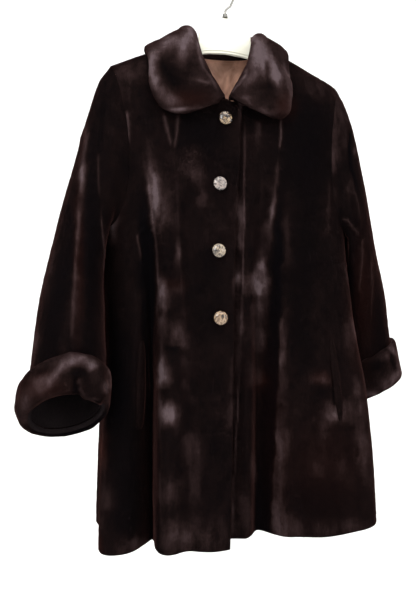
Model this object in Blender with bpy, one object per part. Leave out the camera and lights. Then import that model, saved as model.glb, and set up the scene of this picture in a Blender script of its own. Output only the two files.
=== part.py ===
"""A sheared fur swing coat, hanging on a moulded shoulder hanger.

Frame: metres, +Z up, the front of the coat faces -Y, the wearer's left is +X.
The origin is the inside top of the hanger's hook, where a rail carries it.

Every cloth piece is a wall: the pelt with its sheared pile. The body is worked
out from a few level sections, a straight shoulder line and tables of folds. A
panel is a grid of points (u, v) on that form: u runs from the side to the
centre, v from the hem to the shoulder seam.
"""

import math

import bmesh
import bpy
import numpy as np
from mathutils import Vector
from mathutils.bvhtree import BVHTree

# ---------------------------------------------------------------- driving sizes
WALL = 0.008              # pelt and sheared pile together
SEAM = 0.0003             # gap where two pieces are sewn together
SQUARENESS = 3.0          # exponent of the body's level sections: 2 is an ellipse

HEM_Z = -0.975
UNDERARM_Z = -0.470
SHOULDER_CENTRE = 0.004   # middle of the shoulders, sideways from the hook
SHOULDER_HALF = 0.208
SHOULDER_TOP_Z = -0.0825  # where the two shoulder lines would meet
SHOULDER_SLOPE = 0.440    # fall of the shoulder line per metre sideways
SHOULDER_ROUND = 0.040    # height over which front and back curve over the shoulder
NECK_RIGHT_X = -0.084     # ends of the back neckline
NECK_LEFT_X = 0.078
NECK_LEVEL_HALF = 0.060
NECK_DIP = 0.008          # the back neckline falls this far between them

LINING = 0.0014           # satin lining with its interlining
LINING_OFF = 0.0006       # air between the lining and the pelt
LINING_HEM_Z = -0.330

# Level sections of the body, outer surface: height, half width, depth of the front
# and of the back from the side seam, and the section's centre line.
SECTION_COLUMNS = ("z", "half_width", "front", "back", "centre_x")
SECTIONS = (
    (-0.060, 0.222, 0.030, 0.040, 0.0040),
    (-0.175, 0.221, 0.040, 0.046, 0.0040),
    (-0.250, 0.220, 0.054, 0.058, 0.0040),
    (-0.350, 0.220, 0.066, 0.070, 0.0040),
    (-0.470, 0.221, 0.076, 0.082, 0.0040),
    (-0.600, 0.2250, 0.086, 0.094, 0.0110),
    (-0.780, 0.2380, 0.098, 0.108, 0.0210),
    (-0.975, 0.2420, 0.108, 0.122, 0.0250),
)

# The over front's edge: it leans to the wearer's right as it falls.
EDGE_COLUMNS = ("z", "x")
FRONT_EDGE = ((-0.200, 0.016), (-0.250, 0.014), (-0.450, -0.001), (-0.975, -0.023))
OVERLAP = 0.062           # the under front reaches this far beneath the over front
UNDER_INSET_TOP = 0.0105  # the under front lies this far inside the over front, at the neck
UNDER_INSET_HEM = 0.044   # and at the hem

# Panel rows above the underarm: the armhole edge, from the middle of the shoulders,
# and the centre edge of the right and the left front on the same row. A row with no
# neckline place ends on the front edge, and the last row lies on the shoulder seam.
ROW_COLUMNS = ("arm_half", "arm_z", "right_x", "left_x", "centre_z")
UPPER_ROWS = (
    (0.2210, -0.4700, None, None, -0.470),
    (0.2080, -0.4500, None, None, -0.425),
    (0.1930, -0.4220, None, None, -0.378),
    (0.1840, -0.3820, None, None, -0.330),
    (0.1815, -0.3320, None, None, -0.288),
    (0.1845, -0.2840, None, None, -0.250),
    (0.1910, -0.2430, -0.004, -0.028, -0.2370),
    (0.1965, -0.2150, -0.031, 0.008, -0.2310),
    (0.2003, -0.2005, -0.048, 0.031, -0.210),
    (0.2035, -0.1900, -0.064, 0.048, -0.186),
    (0.2060, -0.1828, -0.074, 0.061, -0.158),
    (0.2075, -0.1772, -0.081, 0.071, -0.136),
    (0.2080, -0.1740, -0.084, 0.078, None),
)
NECK_FIRST_ROW = 7        # the first upper row that ends on the neckline
LOWER_ROWS = 8            # intervals between the hem and the underarm

# Folds of a panel, on lines of constant u and as wide as a share of the panel: from
# start_z they grow down to full_z, where they stand out (+) or fall in (-) by depth.
FOLD_COLUMNS = ("u", "half_width", "start_z", "full_z", "depth")
FOLDS_FRONT_RIGHT = (
    (0.25, 0.110, -0.560, -0.975, 0.032),   # flute beside the sleeve
    (0.45, 0.052, -0.300, -0.920, -0.058),  # deep fold under the arm
    (0.60, 0.090, -0.180, -0.700, 0.014),   # flute under the collar
    (0.72, 0.070, -0.240, -0.600, -0.005),  # soft hollow beside it
    (0.90, 0.150, -0.300, -0.975, 0.012),   # front edge, standing out
)
FOLDS_FRONT_LEFT = (
    (0.16, 0.120, -0.420, -0.975, 0.014),   # flute at the side
    (0.40, 0.130, -0.300, -0.975, 0.006),   # broad flute over the pocket
    (0.56, 0.090, -0.500, -0.975, -0.018),  # hollow beside the deep fold
    (0.665, 0.050, -0.240, -0.900, -0.046),  # deep fold from the collar's tip
    (0.74, 0.060, -0.160, -0.600, 0.008),   # ridge beside it
)
FOLDS_BACK = (
    (0.110, 0.060, -0.520, -0.975, 0.022),
    (0.235, 0.034, -0.320, -0.930, -0.046),
    (0.340, 0.060, -0.240, -0.900, 0.016),
    (0.455, 0.036, -0.300, -0.940, -0.040),
    (0.575, 0.065, -0.230, -0.900, 0.018),
    (0.700, 0.034, -0.300, -0.930, -0.050),
    (0.805, 0.055, -0.320, -0.950, 0.014),
    (0.900, 0.055, -0.640, -0.975, 0.018),
)

# Sleeve rings: the points over and under the arm, the ring's middle and half depth
# front to back, and how far its front is tipped up.
RING_COLUMNS = ("over_x", "over_z", "under_x", "under_z", "mid_y", "half_depth", "tip_deg")
SLEEVE_RIGHT = (
    (0.2040, -0.1740, 0.2170, -0.4700, 0.002, 0.056, 0),
    (0.2110, -0.1840, 0.2195, -0.4690, 0.002, 0.059, 0),
    (0.2260, -0.2090, 0.2215, -0.4790, 0.002, 0.066, 0),
    (0.2430, -0.2650, 0.2205, -0.4950, 0.001, 0.075, 0),
    (0.2640, -0.3420, 0.2190, -0.5200, -0.004, 0.082, 3),
    (0.2850, -0.4220, 0.2175, -0.5540, -0.014, 0.085, 7),
    (0.3020, -0.4970, 0.2165, -0.5930, -0.030, 0.083, 12),
    (0.3170, -0.5650, 0.2175, -0.6320, -0.050, 0.078, 18),
    (0.3270, -0.6300, 0.2175, -0.6670, -0.074, 0.073, 25),
    (0.3330, -0.6910, 0.2185, -0.7020, -0.098, 0.068, 32),
    (0.3370, -0.7440, 0.2200, -0.7320, -0.119, 0.063, 38),
)
SLEEVE_LEFT = (
    (0.2120, -0.1740, 0.2250, -0.4700, 0.002, 0.056, 0),
    (0.2190, -0.1840, 0.2275, -0.4690, 0.003, 0.058, 0),
    (0.2330, -0.2090, 0.2300, -0.4790, 0.006, 0.064, 0),
    (0.2520, -0.2650, 0.2325, -0.4950, 0.011, 0.071, 0),
    (0.2720, -0.3380, 0.2350, -0.5180, 0.021, 0.075, 0),
    (0.2940, -0.4120, 0.2370, -0.5500, 0.037, 0.076, 0),
    (0.3190, -0.4830, 0.2380, -0.5860, 0.052, 0.074, 0),
    (0.3450, -0.5520, 0.2400, -0.6290, 0.066, 0.070, 2),
    (0.3640, -0.6180, 0.2440, -0.6790, 0.078, 0.066, 4),
    (0.3790, -0.6760, 0.2530, -0.7320, 0.090, 0.064, 6),
    (0.3890, -0.7260, 0.2630, -0.7860, 0.102, 0.063, 8),
)
LOOP_FADE = (0.0, 0.10, 0.25, 0.45, 0.65, 0.82, 0.93, 1.0, 1.0, 1.0, 1.0)

# Cuff: a turned-back band round the sleeve's end, as a profile over the sleeve. s is
# measured up from the sleeve's end, out is measured from the sleeve's outer side.
# The columns are its depth, its thickness along the upper edge and by the sleeve's end,
# and the share of its depth that is lost over the arm, negative where it's deeper there.
CUFFS = {
    "right": (0.058, 0.014, 0.014, 0.42),
    "left": (0.072, 0.009, 0.020, -0.06),
}
CUFF_OFF = 0.0010
CUFF_LIP = 0.0055         # the roll below the sleeve's end

# Collar: for each place round the neck, from the middle of the back (0) to the front
# (1): the middle of the roll, and the outer edge.
COLLAR_COLUMNS = ("t", "roll_x", "roll_y", "roll_z", "edge_x", "edge_y", "edge_z")
COLLAR_RIGHT = (
    (0.00, -0.004, 0.060, -0.105, -0.015, 0.084, -0.192),
    (0.16, -0.038, 0.056, -0.105, -0.072, 0.082, -0.186),
    (0.32, -0.062, 0.038, -0.103, -0.118, 0.061, -0.166),
    (0.46, -0.074, 0.006, -0.107, -0.137, 0.014, -0.150),
    (0.58, -0.074, -0.022, -0.117, -0.142, -0.024, -0.176),
    (0.70, -0.072, -0.043, -0.150, -0.144, -0.044, -0.209),
    (0.80, -0.063, -0.051, -0.180, -0.138, -0.056, -0.240),
    (0.88, -0.049, -0.056, -0.205, -0.121, -0.063, -0.263),
    (0.94, -0.037, -0.059, -0.220, -0.090, -0.068, -0.268),
    (1.00, -0.024, -0.062, -0.231, -0.037, -0.070, -0.249),
)
COLLAR_LEFT = (
    (0.00, -0.004, 0.060, -0.105, -0.015, 0.084, -0.192),
    (0.16, 0.026, 0.054, -0.104, 0.038, 0.080, -0.184),
    (0.32, 0.050, 0.036, -0.101, 0.080, 0.056, -0.160),
    (0.46, 0.063, 0.006, -0.105, 0.098, 0.012, -0.138),
    (0.58, 0.058, -0.022, -0.115, 0.103, -0.024, -0.160),
    (0.70, 0.047, -0.043, -0.148, 0.106, -0.044, -0.193),
    (0.80, 0.036, -0.051, -0.178, 0.103, -0.056, -0.228),
    (0.88, 0.019, -0.056, -0.205, 0.093, -0.063, -0.255),
    (0.94, 0.006, -0.059, -0.220, 0.068, -0.068, -0.264),
    (1.00, -0.005, -0.062, -0.231, 0.007, -0.071, -0.244),
)
COLLAR_THICK = 0.009
COLLAR_TAPER = 0.65       # share of the thickness left at the two front ends
COLLAR_ROLL = 0.0045      # radius of the fold inside the collar
COLLAR_LIFT = 0.0031      # the fall lies this far off the coat
COLLAR_PLACES = (0, 0.12, 0.24, 0.33, 0.40, 0.45, 0.50, 0.56, 0.63, 0.71, 0.79, 0.86, 0.92, 0.965, 1)
FALL_STEPS = 6
TURN_STEPS = 4

# Buttons on the over front: centre line, height.
BUTTON_RADIUS = 0.0115
BUTTON_THICK = 0.0058
BUTTON_STAND = 0.0016
BUTTONS = ((-0.016, -0.266), (-0.029, -0.380), (-0.034, -0.493), (-0.034, -0.604))

# Pocket mouths: slits in the fronts, each edged by a rolled lip.
WELT_HALF_WIDTH = 0.0060
WELT_THICK = 0.0032
WELT_TOP_Z = -0.640
WELT_LENGTH = 0.142
WELT_U_RIGHT = 0.393
WELT_U_LEFT = 0.335
WELT_STEPS = 12
WELT_OFF = 0.0006         # gap between the lip and the front
WELT_PROFILE = ((-1, 0.25), (-0.5, 0.9), (0, 1.0), (0.5, 0.9), (1, 0.25))   # across, height
FRONT_WIDTH = 0.29        # of a front at the pockets, along the cloth

# Hanger: sections from its middle to the end of an arm. Where top_z is None, the arm
# carries the shoulder, so its top lies just under the inside of the shoulder line.
HANGER_COLUMNS = ("x", "top_z", "height", "half_thick")
HANGER_ARM = (
    (0.000, -0.0660, 0.0660, 0.0070),
    (0.030, -0.0675, 0.0665, 0.0070),
    (0.039, -0.0725, 0.0630, 0.0072),
    (0.045, -0.0840, 0.0530, 0.0072),
    (0.049, -0.1060, 0.0330, 0.0072),
    (0.055, -0.1265, 0.0155, 0.0070),
    (0.078, -0.1335, 0.0165, 0.0070),
    (0.092, None, 0.0170, 0.0060),
    (0.130, None, 0.0190, 0.0064),
    (0.165, None, 0.0210, 0.0068),
    (0.180, None, 0.0220, 0.0066),
    (0.188, -0.1790, 0.0170, 0.0050),
)
HANGER_SQUARENESS = 2.0
HANGER_SEAT = 0.0011      # gap under the shoulder line, which the cloth's flat faces need
HANGER_CORNERS = 16
WIRE = 0.0020
HOOK_RADIUS = 0.020       # to the wire's centre line
FERRULE_RADIUS = 0.0050
FERRULE_HEIGHT = 0.0060

FUR = ((0.030, 0.014, 0.012, 1), 0.75, 0.0)
SATIN = ((0.19, 0.13, 0.10, 1), 0.45, 0.0)
CREAM = ((0.86, 0.84, 0.76, 1), 0.40, 0.0)
STEEL = ((0.70, 0.70, 0.68, 1), 0.25, 1.0)
PEARL = ((0.62, 0.56, 0.46, 1), 0.20, 0.6)


# ---------------------------------------------------------------- small helpers
def column(table, columns, name):
    return np.array([row[columns.index(name)] for row in table], float)


def smooth(knots, values, at):
    """Values between the knots of a table, with no kink at a knot."""
    order = np.argsort(knots)
    k, v = np.asarray(knots, float)[order], np.asarray(values, float)[order]
    slope = np.gradient(v, k)
    at = np.clip(at, k[0], k[-1])
    i = np.clip(np.searchsorted(k, at) - 1, 0, len(k) - 2)
    step = k[i + 1] - k[i]
    t = (at - k[i]) / step
    return (
        (2 * t**3 - 3 * t**2 + 1) * v[i]
        + (t**3 - 2 * t**2 + t) * step * slope[i]
        + (3 * t**2 - 2 * t**3) * v[i + 1]
        + (t**3 - t**2) * step * slope[i + 1]
    )


def step_between(start, end, at):
    """0 before start, 1 after end, and smooth between them."""
    t = np.clip((at - start) / (end - start), 0, 1)
    return t * t * (3 - 2 * t)


def signed_power(base, power):
    return np.sign(base) * np.abs(base) ** power


def unit(vectors):
    return vectors / np.maximum(np.linalg.norm(vectors, axis=-1, keepdims=True), 1e-12)


def section(z, name):
    return smooth(column(SECTIONS, SECTION_COLUMNS, "z"), column(SECTIONS, SECTION_COLUMNS, name), z)


# ---------------------------------------------------------------- the body's form
def unit_curve_table():
    """Half of a level section, one wide and one deep, against the share of its length."""
    angle = np.linspace(0, math.pi, 1441)
    radius = (np.abs(np.cos(angle)) ** SQUARENESS + np.sin(angle) ** SQUARENESS) ** (-1 / SQUARENESS)
    x, y = -radius * np.cos(angle), radius * np.sin(angle)
    aspect = 0.40
    length = np.concatenate([[0], np.cumsum(np.hypot(np.diff(x), aspect * np.diff(y)))])
    return 2 * length / length[-1] - 1, x, y


ARC, ARC_X, ARC_Y = unit_curve_table()


def unit_curve(c):
    """c is -1 at the right side seam, 0 at the centre and 1 at the left side seam."""
    beyond = np.abs(c) > 1
    inside = np.where(beyond, np.sign(c) * 2 - c, c)
    x, y = np.interp(inside, ARC, ARC_X), np.interp(inside, ARC, ARC_Y)
    return x, np.where(beyond, -y, y)


def place_of(x, z):
    """The c of a point that lies x sideways, on the section at z."""
    share = (x - section(z, "centre_x")) / section(z, "half_width")
    return np.interp(share, ARC_X, ARC)


def shoulder_z(x):
    """Height of the shoulder line, level where the neck opening is."""
    return SHOULDER_TOP_Z - SHOULDER_SLOPE * np.maximum(np.abs(x - SHOULDER_CENTRE), NECK_LEVEL_HALF)


def body_form(c, z, side):
    """Outer surface without folds. side is -1 on the front and 1 on the back."""
    ux, uy = unit_curve(c)
    x = section(z, "centre_x") + section(z, "half_width") * ux
    drop = np.clip((shoulder_z(x) - z) / SHOULDER_ROUND, 0, 1)
    depth = section(z, "front" if side < 0 else "back")
    return np.stack([x, side * depth * uy * np.sqrt(1 - (1 - drop) ** 2), z + 0 * x], axis=-1)


def form_normal(c, z, side):
    """Outward unit normal of the body's form."""
    step = 1e-4
    point = body_form(c, z, side)
    across = body_form(c + step, z, side) - body_form(c - step, z, side)
    along = body_form(c, z + step, side) - body_form(c, z - step, side)
    found = unit(np.cross(across, along)) * -side
    x = point[..., 0]
    on_seam = shoulder_z(x) - point[..., 2] < 2 * step
    lean = np.sign(x - SHOULDER_CENTRE) * SHOULDER_SLOPE
    found[on_seam] = unit(np.stack([lean, 0 * x, 1 + 0 * x], axis=-1))[on_seam]
    return found


def fold_depth(folds, u, z):
    """How far the folds of a panel move its surface out."""
    total = 0.0
    for u_fold, half_width, start, full, depth in folds:
        total = total + depth * step_between(-start, -full, -z) * np.exp(-(((u - u_fold) / half_width) ** 2))
    return total * step_between(0, 0.08, u)


def panel_walls(u, c, z, side, stand_out):
    """Outer points, inner points and normals of a panel. stand_out(u, z) moves its outer
    side off the form. The inner side keeps the wall's thickness also beside steep folds:
    it is as deep as a ball of that radius, rolled along the outer side, would reach."""
    base, normal = body_form(c, z, side), form_normal(c, z, side)
    length = np.linalg.norm(np.diff(base, axis=1), axis=-1)
    place = np.concatenate([np.zeros((len(base), 1)), np.cumsum(length, axis=1)], axis=1)
    outer_depth = stand_out(u + 0 * z, z)
    inner_depth = outer_depth - WALL
    for shift in np.linspace(-WALL, WALL, 17)[1:-1]:
        reached = np.array([np.interp(row + shift, row, u) for row in place])
        under = stand_out(reached, z) - math.sqrt(WALL**2 - shift**2)
        inner_depth = np.minimum(inner_depth, under)
    return base + outer_depth[..., None] * normal, base + inner_depth[..., None] * normal, normal


# ---------------------------------------------------------------- panels
def edge_x(z):
    return smooth(column(FRONT_EDGE, EDGE_COLUMNS, "z"), column(FRONT_EDGE, EDGE_COLUMNS, "x"), z)


def row_heights(count):
    """Heights of the rows from the hem to the underarm, closer at the hem."""
    share = np.linspace(0, 1, count + 1)[:-1]
    return HEM_Z + (UNDERARM_Z - HEM_Z) * (0.75 * share + 0.25 * share**2)


def front_rows(left):
    """(c, z) of the side and of the centre edge, for each row of a front."""
    sign = 1 if left else -1
    lower = row_heights(LOWER_ROWS)
    under = OVERLAP if left else 0
    rows = [(sign, z, place_of(edge_x(z) - under, z), z) for z in lower]
    for arm_half, arm_z, right_x, left_x, centre_z in UPPER_ROWS:
        neck_x = left_x if left else right_x
        centre_z = shoulder_z(neck_x) if centre_z is None else centre_z
        x = edge_x(centre_z) - under if neck_x is None else neck_x
        arm_x = SHOULDER_CENTRE + sign * arm_half
        side_c = sign if arm_z == UNDERARM_Z else place_of(arm_x, arm_z)
        rows.append((side_c, arm_z, place_of(x, centre_z), centre_z))
    return np.array(rows, float)


def edge_power(reach):
    """How fast the armhole's shape dies out across a panel, for each row."""
    power = np.ones((LOWER_ROWS + len(UPPER_ROWS), 1))
    power[LOWER_ROWS:, 0] = 1 + reach * (1 - np.linspace(0, 1, len(UPPER_ROWS)))
    return power


def front_grid(left, u):
    """(c, z) for each row and each u of a front."""
    rows = front_rows(left)
    sign = 1 if left else -1
    c = sign * (1 - u) + rows[:, 2:3] * u + (rows[:, 0:1] - sign) * signed_power(1 - u, edge_power(2))
    z_rule = rows[:, 1:2] * (1 - u) + rows[:, 3:4] * u
    share = np.zeros((len(rows), 1))
    share[LOWER_ROWS:, 0] = np.linspace(0, 1, len(UPPER_ROWS))
    ends = [section(rows[:, k], "centre_x") + section(rows[:, k], "half_width")
            * unit_curve(rows[:, k - 1])[0] for k in (1, 3)]
    drops = [shoulder_z(ends[0]) - rows[:, 1], shoulder_z(ends[1]) - rows[:, 3]]
    drop = drops[0][:, None] * (1 - u) + drops[1][:, None] * u
    z = z_rule
    for _ in range(4):
        x = section(z, "centre_x") + section(z, "half_width") * unit_curve(c)[0]
        z = (1 - share) * z_rule + share * (shoulder_z(x) - drop)
    return c, z


def front_stand_out(left):
    """How far a front stands off the form: its folds, and the way beneath the over front."""
    def stand_out(u, z):
        if not left:
            return fold_depth(FOLDS_FRONT_RIGHT, u, z)
        inset = UNDER_INSET_TOP + (UNDER_INSET_HEM - UNDER_INSET_TOP) * step_between(0.30, -HEM_Z, -z)
        inset = inset * step_between(0.15, 0.235, -z)
        return fold_depth(FOLDS_FRONT_LEFT, u, z) - inset * step_between(0.55, 0.78, u)

    return stand_out


def back_top(x):
    """Height of the back's top edge: the shoulder seams, and the neckline between them."""
    share = (x - NECK_RIGHT_X) / (NECK_LEFT_X - NECK_RIGHT_X)
    level = shoulder_z(NECK_RIGHT_X) * (1 - share) + shoulder_z(NECK_LEFT_X) * share
    neckline = level - NECK_DIP * 4 * share * (1 - share)
    return np.where((share > 0) & (share < 1), neckline, shoulder_z(x))


def back_grid(u):
    """(c, z) for each row and each u of the back: u is 0 on its right side, 1 on its left."""
    lower = row_heights(LOWER_ROWS)
    ends = [(-1.0, 1.0, z) for z in lower]
    for arm_half, arm_z, *_ in UPPER_ROWS:
        at = [place_of(SHOULDER_CENTRE + s * arm_half, arm_z) for s in (-1, 1)]
        ends.append((-1.0, 1.0, arm_z) if arm_z == UNDERARM_Z else (float(at[0]), float(at[1]), arm_z))
    ends = np.array(ends)
    power = edge_power(4)
    c = 2 * u - 1 + (ends[:, 0:1] + 1) * signed_power(1 - u, power)
    c = c + (ends[:, 1:2] - 1) * signed_power(u, power)
    z_side = ends[:, 2:3] + 0 * u
    arm_x = SHOULDER_CENTRE + column(UPPER_ROWS, ROW_COLUMNS, "arm_half")
    arm_drop = shoulder_z(arm_x) - column(UPPER_ROWS, ROW_COLUMNS, "arm_z")
    rise = np.zeros((len(ends), 1))
    rise[LOWER_ROWS:, 0] = 1 - arm_drop / arm_drop[0]
    rise[-1] = 1
    z = z_side
    for _ in range(4):
        x = section(z, "centre_x") + section(z, "half_width") * unit_curve(c)[0]
        low = shoulder_z(x) - UNDERARM_Z
        top = shoulder_z(x) - back_top(x)
        z = np.where(rise > 0, shoulder_z(x) - (low * (1 - rise) + top * rise), z_side)
    return c, z


def back_stand_out(u, z):
    return fold_depth(FOLDS_BACK, u, z) * step_between(0, 0.08, 1 - u)


def rim_faces(mesh, out_a, out_b, in_b, in_a):
    """One face of a wall's edge as two triangles. The cut joins the lower outer point and the
    higher inner point, so that two pieces that meet at a seam are cut alike."""
    if out_a.co.z < out_b.co.z:
        mesh.faces.new((out_a, out_b, in_b))
        mesh.faces.new((out_a, in_b, in_a))
    else:
        mesh.faces.new((out_a, out_b, in_a))
        mesh.faces.new((out_b, in_b, in_a))


def wall_object(name, outer, inner, material, ring=False):
    """A closed wall between two grids of points, rows by columns. A ring closes on itself
    along its columns."""
    rows, columns = outer.shape[:2]
    mesh = bmesh.new()
    sheets = []
    for grid in (outer, inner):
        sheets.append([[mesh.verts.new(grid[i, j]) for j in range(columns)] for i in range(rows)])
    out, into = sheets
    span = columns if ring else columns - 1
    for i in range(rows - 1):
        for j in range(span):
            k = (j + 1) % columns
            mesh.faces.new((out[i][j], out[i][k], out[i + 1][k], out[i + 1][j]))
            mesh.faces.new((into[i][j], into[i + 1][j], into[i + 1][k], into[i][k]))
    for j in range(span):
        k = (j + 1) % columns
        rim_faces(mesh, out[0][k], out[0][j], into[0][j], into[0][k])
        rim_faces(mesh, out[-1][j], out[-1][k], into[-1][k], into[-1][j])
    if not ring:
        for i in range(rows - 1):
            rim_faces(mesh, out[i][0], out[i + 1][0], into[i + 1][0], into[i][0])
            rim_faces(mesh, out[i + 1][-1], out[i][-1], into[i][-1], into[i + 1][-1])
    return finish_mesh(name, mesh, material)


def finish_mesh(name, mesh, material):
    """Makes the object, with its faces pointing out and round pieces shaded smooth."""
    bmesh.ops.recalc_face_normals(mesh, faces=mesh.faces)
    if mesh.calc_volume(signed=True) < 0:
        bmesh.ops.reverse_faces(mesh, faces=mesh.faces)
    data = bpy.data.meshes.new(name)
    mesh.to_mesh(data)
    mesh.free()
    data.shade_smooth()
    data.set_sharp_from_angle(angle=math.radians(50))
    data.materials.append(material)
    made = bpy.data.objects.new(name, data)
    bpy.context.scene.collection.objects.link(made)
    return made


def make_material(name, look):
    colour, roughness, metallic = look
    material = bpy.data.materials.new(name)
    material.use_nodes = True
    shader = material.node_tree.nodes["Principled BSDF"]
    shader.inputs["Base Color"].default_value = colour
    shader.inputs["Roughness"].default_value = roughness
    shader.inputs["Metallic"].default_value = metallic
    return material


def fold_columns(folds, count):
    """Shares of a panel's width for its columns: even ones, and more across each narrow fold."""
    chosen = list(np.linspace(0, 1, count + 1))
    for u_fold, half_width, _, _, depth in folds:
        if depth < -0.02:
            chosen = [u for u in chosen if abs(u - u_fold) > 2.0 * half_width]
            chosen += [u_fold + k * half_width for k in (-1.6, -1.0, -0.45, 0.0, 0.45, 1.0, 1.6)]
    return np.array(sorted(chosen))


def front_panel(left, material):
    u = fold_columns(FOLDS_FRONT_LEFT if left else FOLDS_FRONT_RIGHT, 13)
    c, z = front_grid(left, u)
    outer, inner, _ = panel_walls(u, c, z, -1, front_stand_out(left))
    settle_seams(outer, inner, -1, [0])
    made = wall_object("front_left" if left else "front_right", outer, inner, material)
    cloth = BVHTree.FromObject(made, bpy.context.evaluated_depsgraph_get())
    return outer, inner, cloth


def settle_seams(outer, inner, side, seam_columns):
    """Puts the side seams and the shoulder seam beside the plane between front and back."""
    for sheet in (outer, inner):
        for j in seam_columns:
            sheet[: LOWER_ROWS + 1, j, 1] = side * SEAM / 2
        on_seam = np.abs(sheet[-1, :, 1]) < 0.002
        sheet[-1, on_seam, 1] = side * SEAM / 2


def back_columns():
    """Even columns, a column at each end of the neckline, and more across narrow folds."""
    neck = [float(place_of(x, shoulder_z(x))) for x in (NECK_RIGHT_X, NECK_LEFT_X)]
    ends = [float(place_of(SHOULDER_CENTRE + s * SHOULDER_HALF, UPPER_ROWS[-1][1])) for s in (-1, 1)]
    stops = [(n - ends[0]) / (ends[1] - ends[0]) for n in neck]
    base = fold_columns(FOLDS_BACK, 18)
    keep = [u for u in base if all(abs(u - s) > 0.012 for s in stops)]
    return np.array(sorted(keep + stops)), stops


def back_panel(material):
    u, stops = back_columns()
    c, z = back_grid(u)
    outer, inner, normal = panel_walls(u, c, z, 1, back_stand_out)
    settle_seams(outer, inner, 1, [0, -1])
    wall_object("back", outer, inner, material)
    return u, stops, outer, inner, normal


def back_lining(inner, normal, material):
    """The satin inside the back of the neck, from the neckline to below the shoulder blades."""
    heights = inner[:, :, 2].mean(axis=1)
    rows = [i for i in range(len(heights) - 1) if heights[i] > LINING_HEM_Z]
    area = slice(2, inner.shape[1] - 2)
    fur_side = inner[rows][:, area] - LINING_OFF * normal[rows][:, area]
    wear_side = fur_side - LINING * normal[rows][:, area]
    wall_object("back_lining", fur_side, wear_side, material)


# ---------------------------------------------------------------- sleeves and cuffs
def armhole_loop(front, back, left):
    """Outer and inner points of the armhole, over the shoulder, down the front, under the arm
    and up the back, and the way that leads off the body there."""
    column_back = -1 if left else 0
    inside_back = -2 if left else 1
    first = LOWER_ROWS
    outer, inner, away = [], [], []

    def take(panel_outer, panel_inner, row, col, nearby):
        outer.append(panel_outer[row, col])
        inner.append(panel_inner[row, col])
        before, after = max(row - 1, first), min(row + 1, len(panel_outer) - 1)
        edge = panel_outer[after, col] - panel_outer[before, col]
        back_in = panel_outer[row, nearby] - panel_outer[row, col]
        flat = back_in - edge * (back_in @ edge) / (edge @ edge)
        away.append(-unit(flat))

    last = len(front[0]) - 1
    for row in range(last, first - 1, -1):
        take(front[0], front[1], row, 0, 1)
    for row in range(first, last + 1):
        take(back[0], back[1], row, column_back, inside_back)
    outer, inner, away = (np.array(a) for a in (outer, inner, away))
    count = last - first + 1
    top, under = (0, 2 * count - 1), (count - 1, count)
    for a in (outer, inner, away):
        for one, other in (top, under):
            a[one] = a[other] = (a[one] + a[other]) / 2
    keep = [i for i in range(2 * count - 1) if i != count]
    away[0], away[count - 1] = (np.array(v, float) for v in ((1 if left else -1, 0, -0.5), (0, 0, 1)))
    return outer[keep], inner[keep], unit(away)[keep]


def sleeve_surface(table, loop, sign):
    """Outer points of a sleeve: its rings by places round it, the first on the armhole."""
    over_z, under_z = loop[0, 2], loop[:, 2].min()
    cosine = np.clip(2 * (loop[:, 2] - under_z) / (over_z - under_z) - 1, -1, 1)
    count = len(loop)
    angle = np.arccos(cosine)
    angle[np.arange(count) > np.argmin(loop[:, 2])] *= -1
    rings = []
    for row in table:
        over_x, over_z, under_x, under_z, mid_y, half_depth, tip = row
        over = np.array([sign * over_x, mid_y, over_z])
        under = np.array([sign * under_x, mid_y, under_z])
        forward = np.array([0, -math.cos(math.radians(tip)), math.sin(math.radians(tip))])
        middle, reach = (over + under) / 2, (over - under) / 2
        rings.append(
            middle + np.cos(angle)[:, None] * reach + half_depth * np.sin(angle)[:, None] * forward
        )
    rings = np.array(rings)
    own = loop - rings[0]
    fade = 1 - np.array(LOOP_FADE)[:, None, None]
    return rings + fade * own, angle


def ring_normals(points):
    """Outward normals of a tube: rings by places round it."""
    around = np.roll(points, -1, axis=1) - np.roll(points, 1, axis=1)
    along = np.gradient(points, axis=0)
    found = unit(np.cross(around, along))
    centre = points.mean(axis=1, keepdims=True)
    facing = np.sum(found * (points - centre), axis=-1).mean()
    return found * math.copysign(1, facing)


def sleeve(name, table, front, back, left, material):
    loop_outer, loop_inner, away = armhole_loop(front, back, left)
    outer, angle = sleeve_surface(table, loop_outer + SEAM * away, 1 if left else -1)
    normal = ring_normals(outer)
    inner = outer - WALL * normal
    inner[0] = loop_inner + SEAM * away
    # The first ring turns from the body's wall into the sleeve's wall.
    from_body, to_sleeve = unit(loop_inner - loop_outer), -normal[2]
    turned = 1 - np.sum(from_body * to_sleeve, axis=-1, keepdims=True)
    inner[1] = outer[1] + WALL * unit(from_body + to_sleeve + turned * away)
    wall_object(name, outer, inner, material, ring=True)
    return outer, normal, angle


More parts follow.
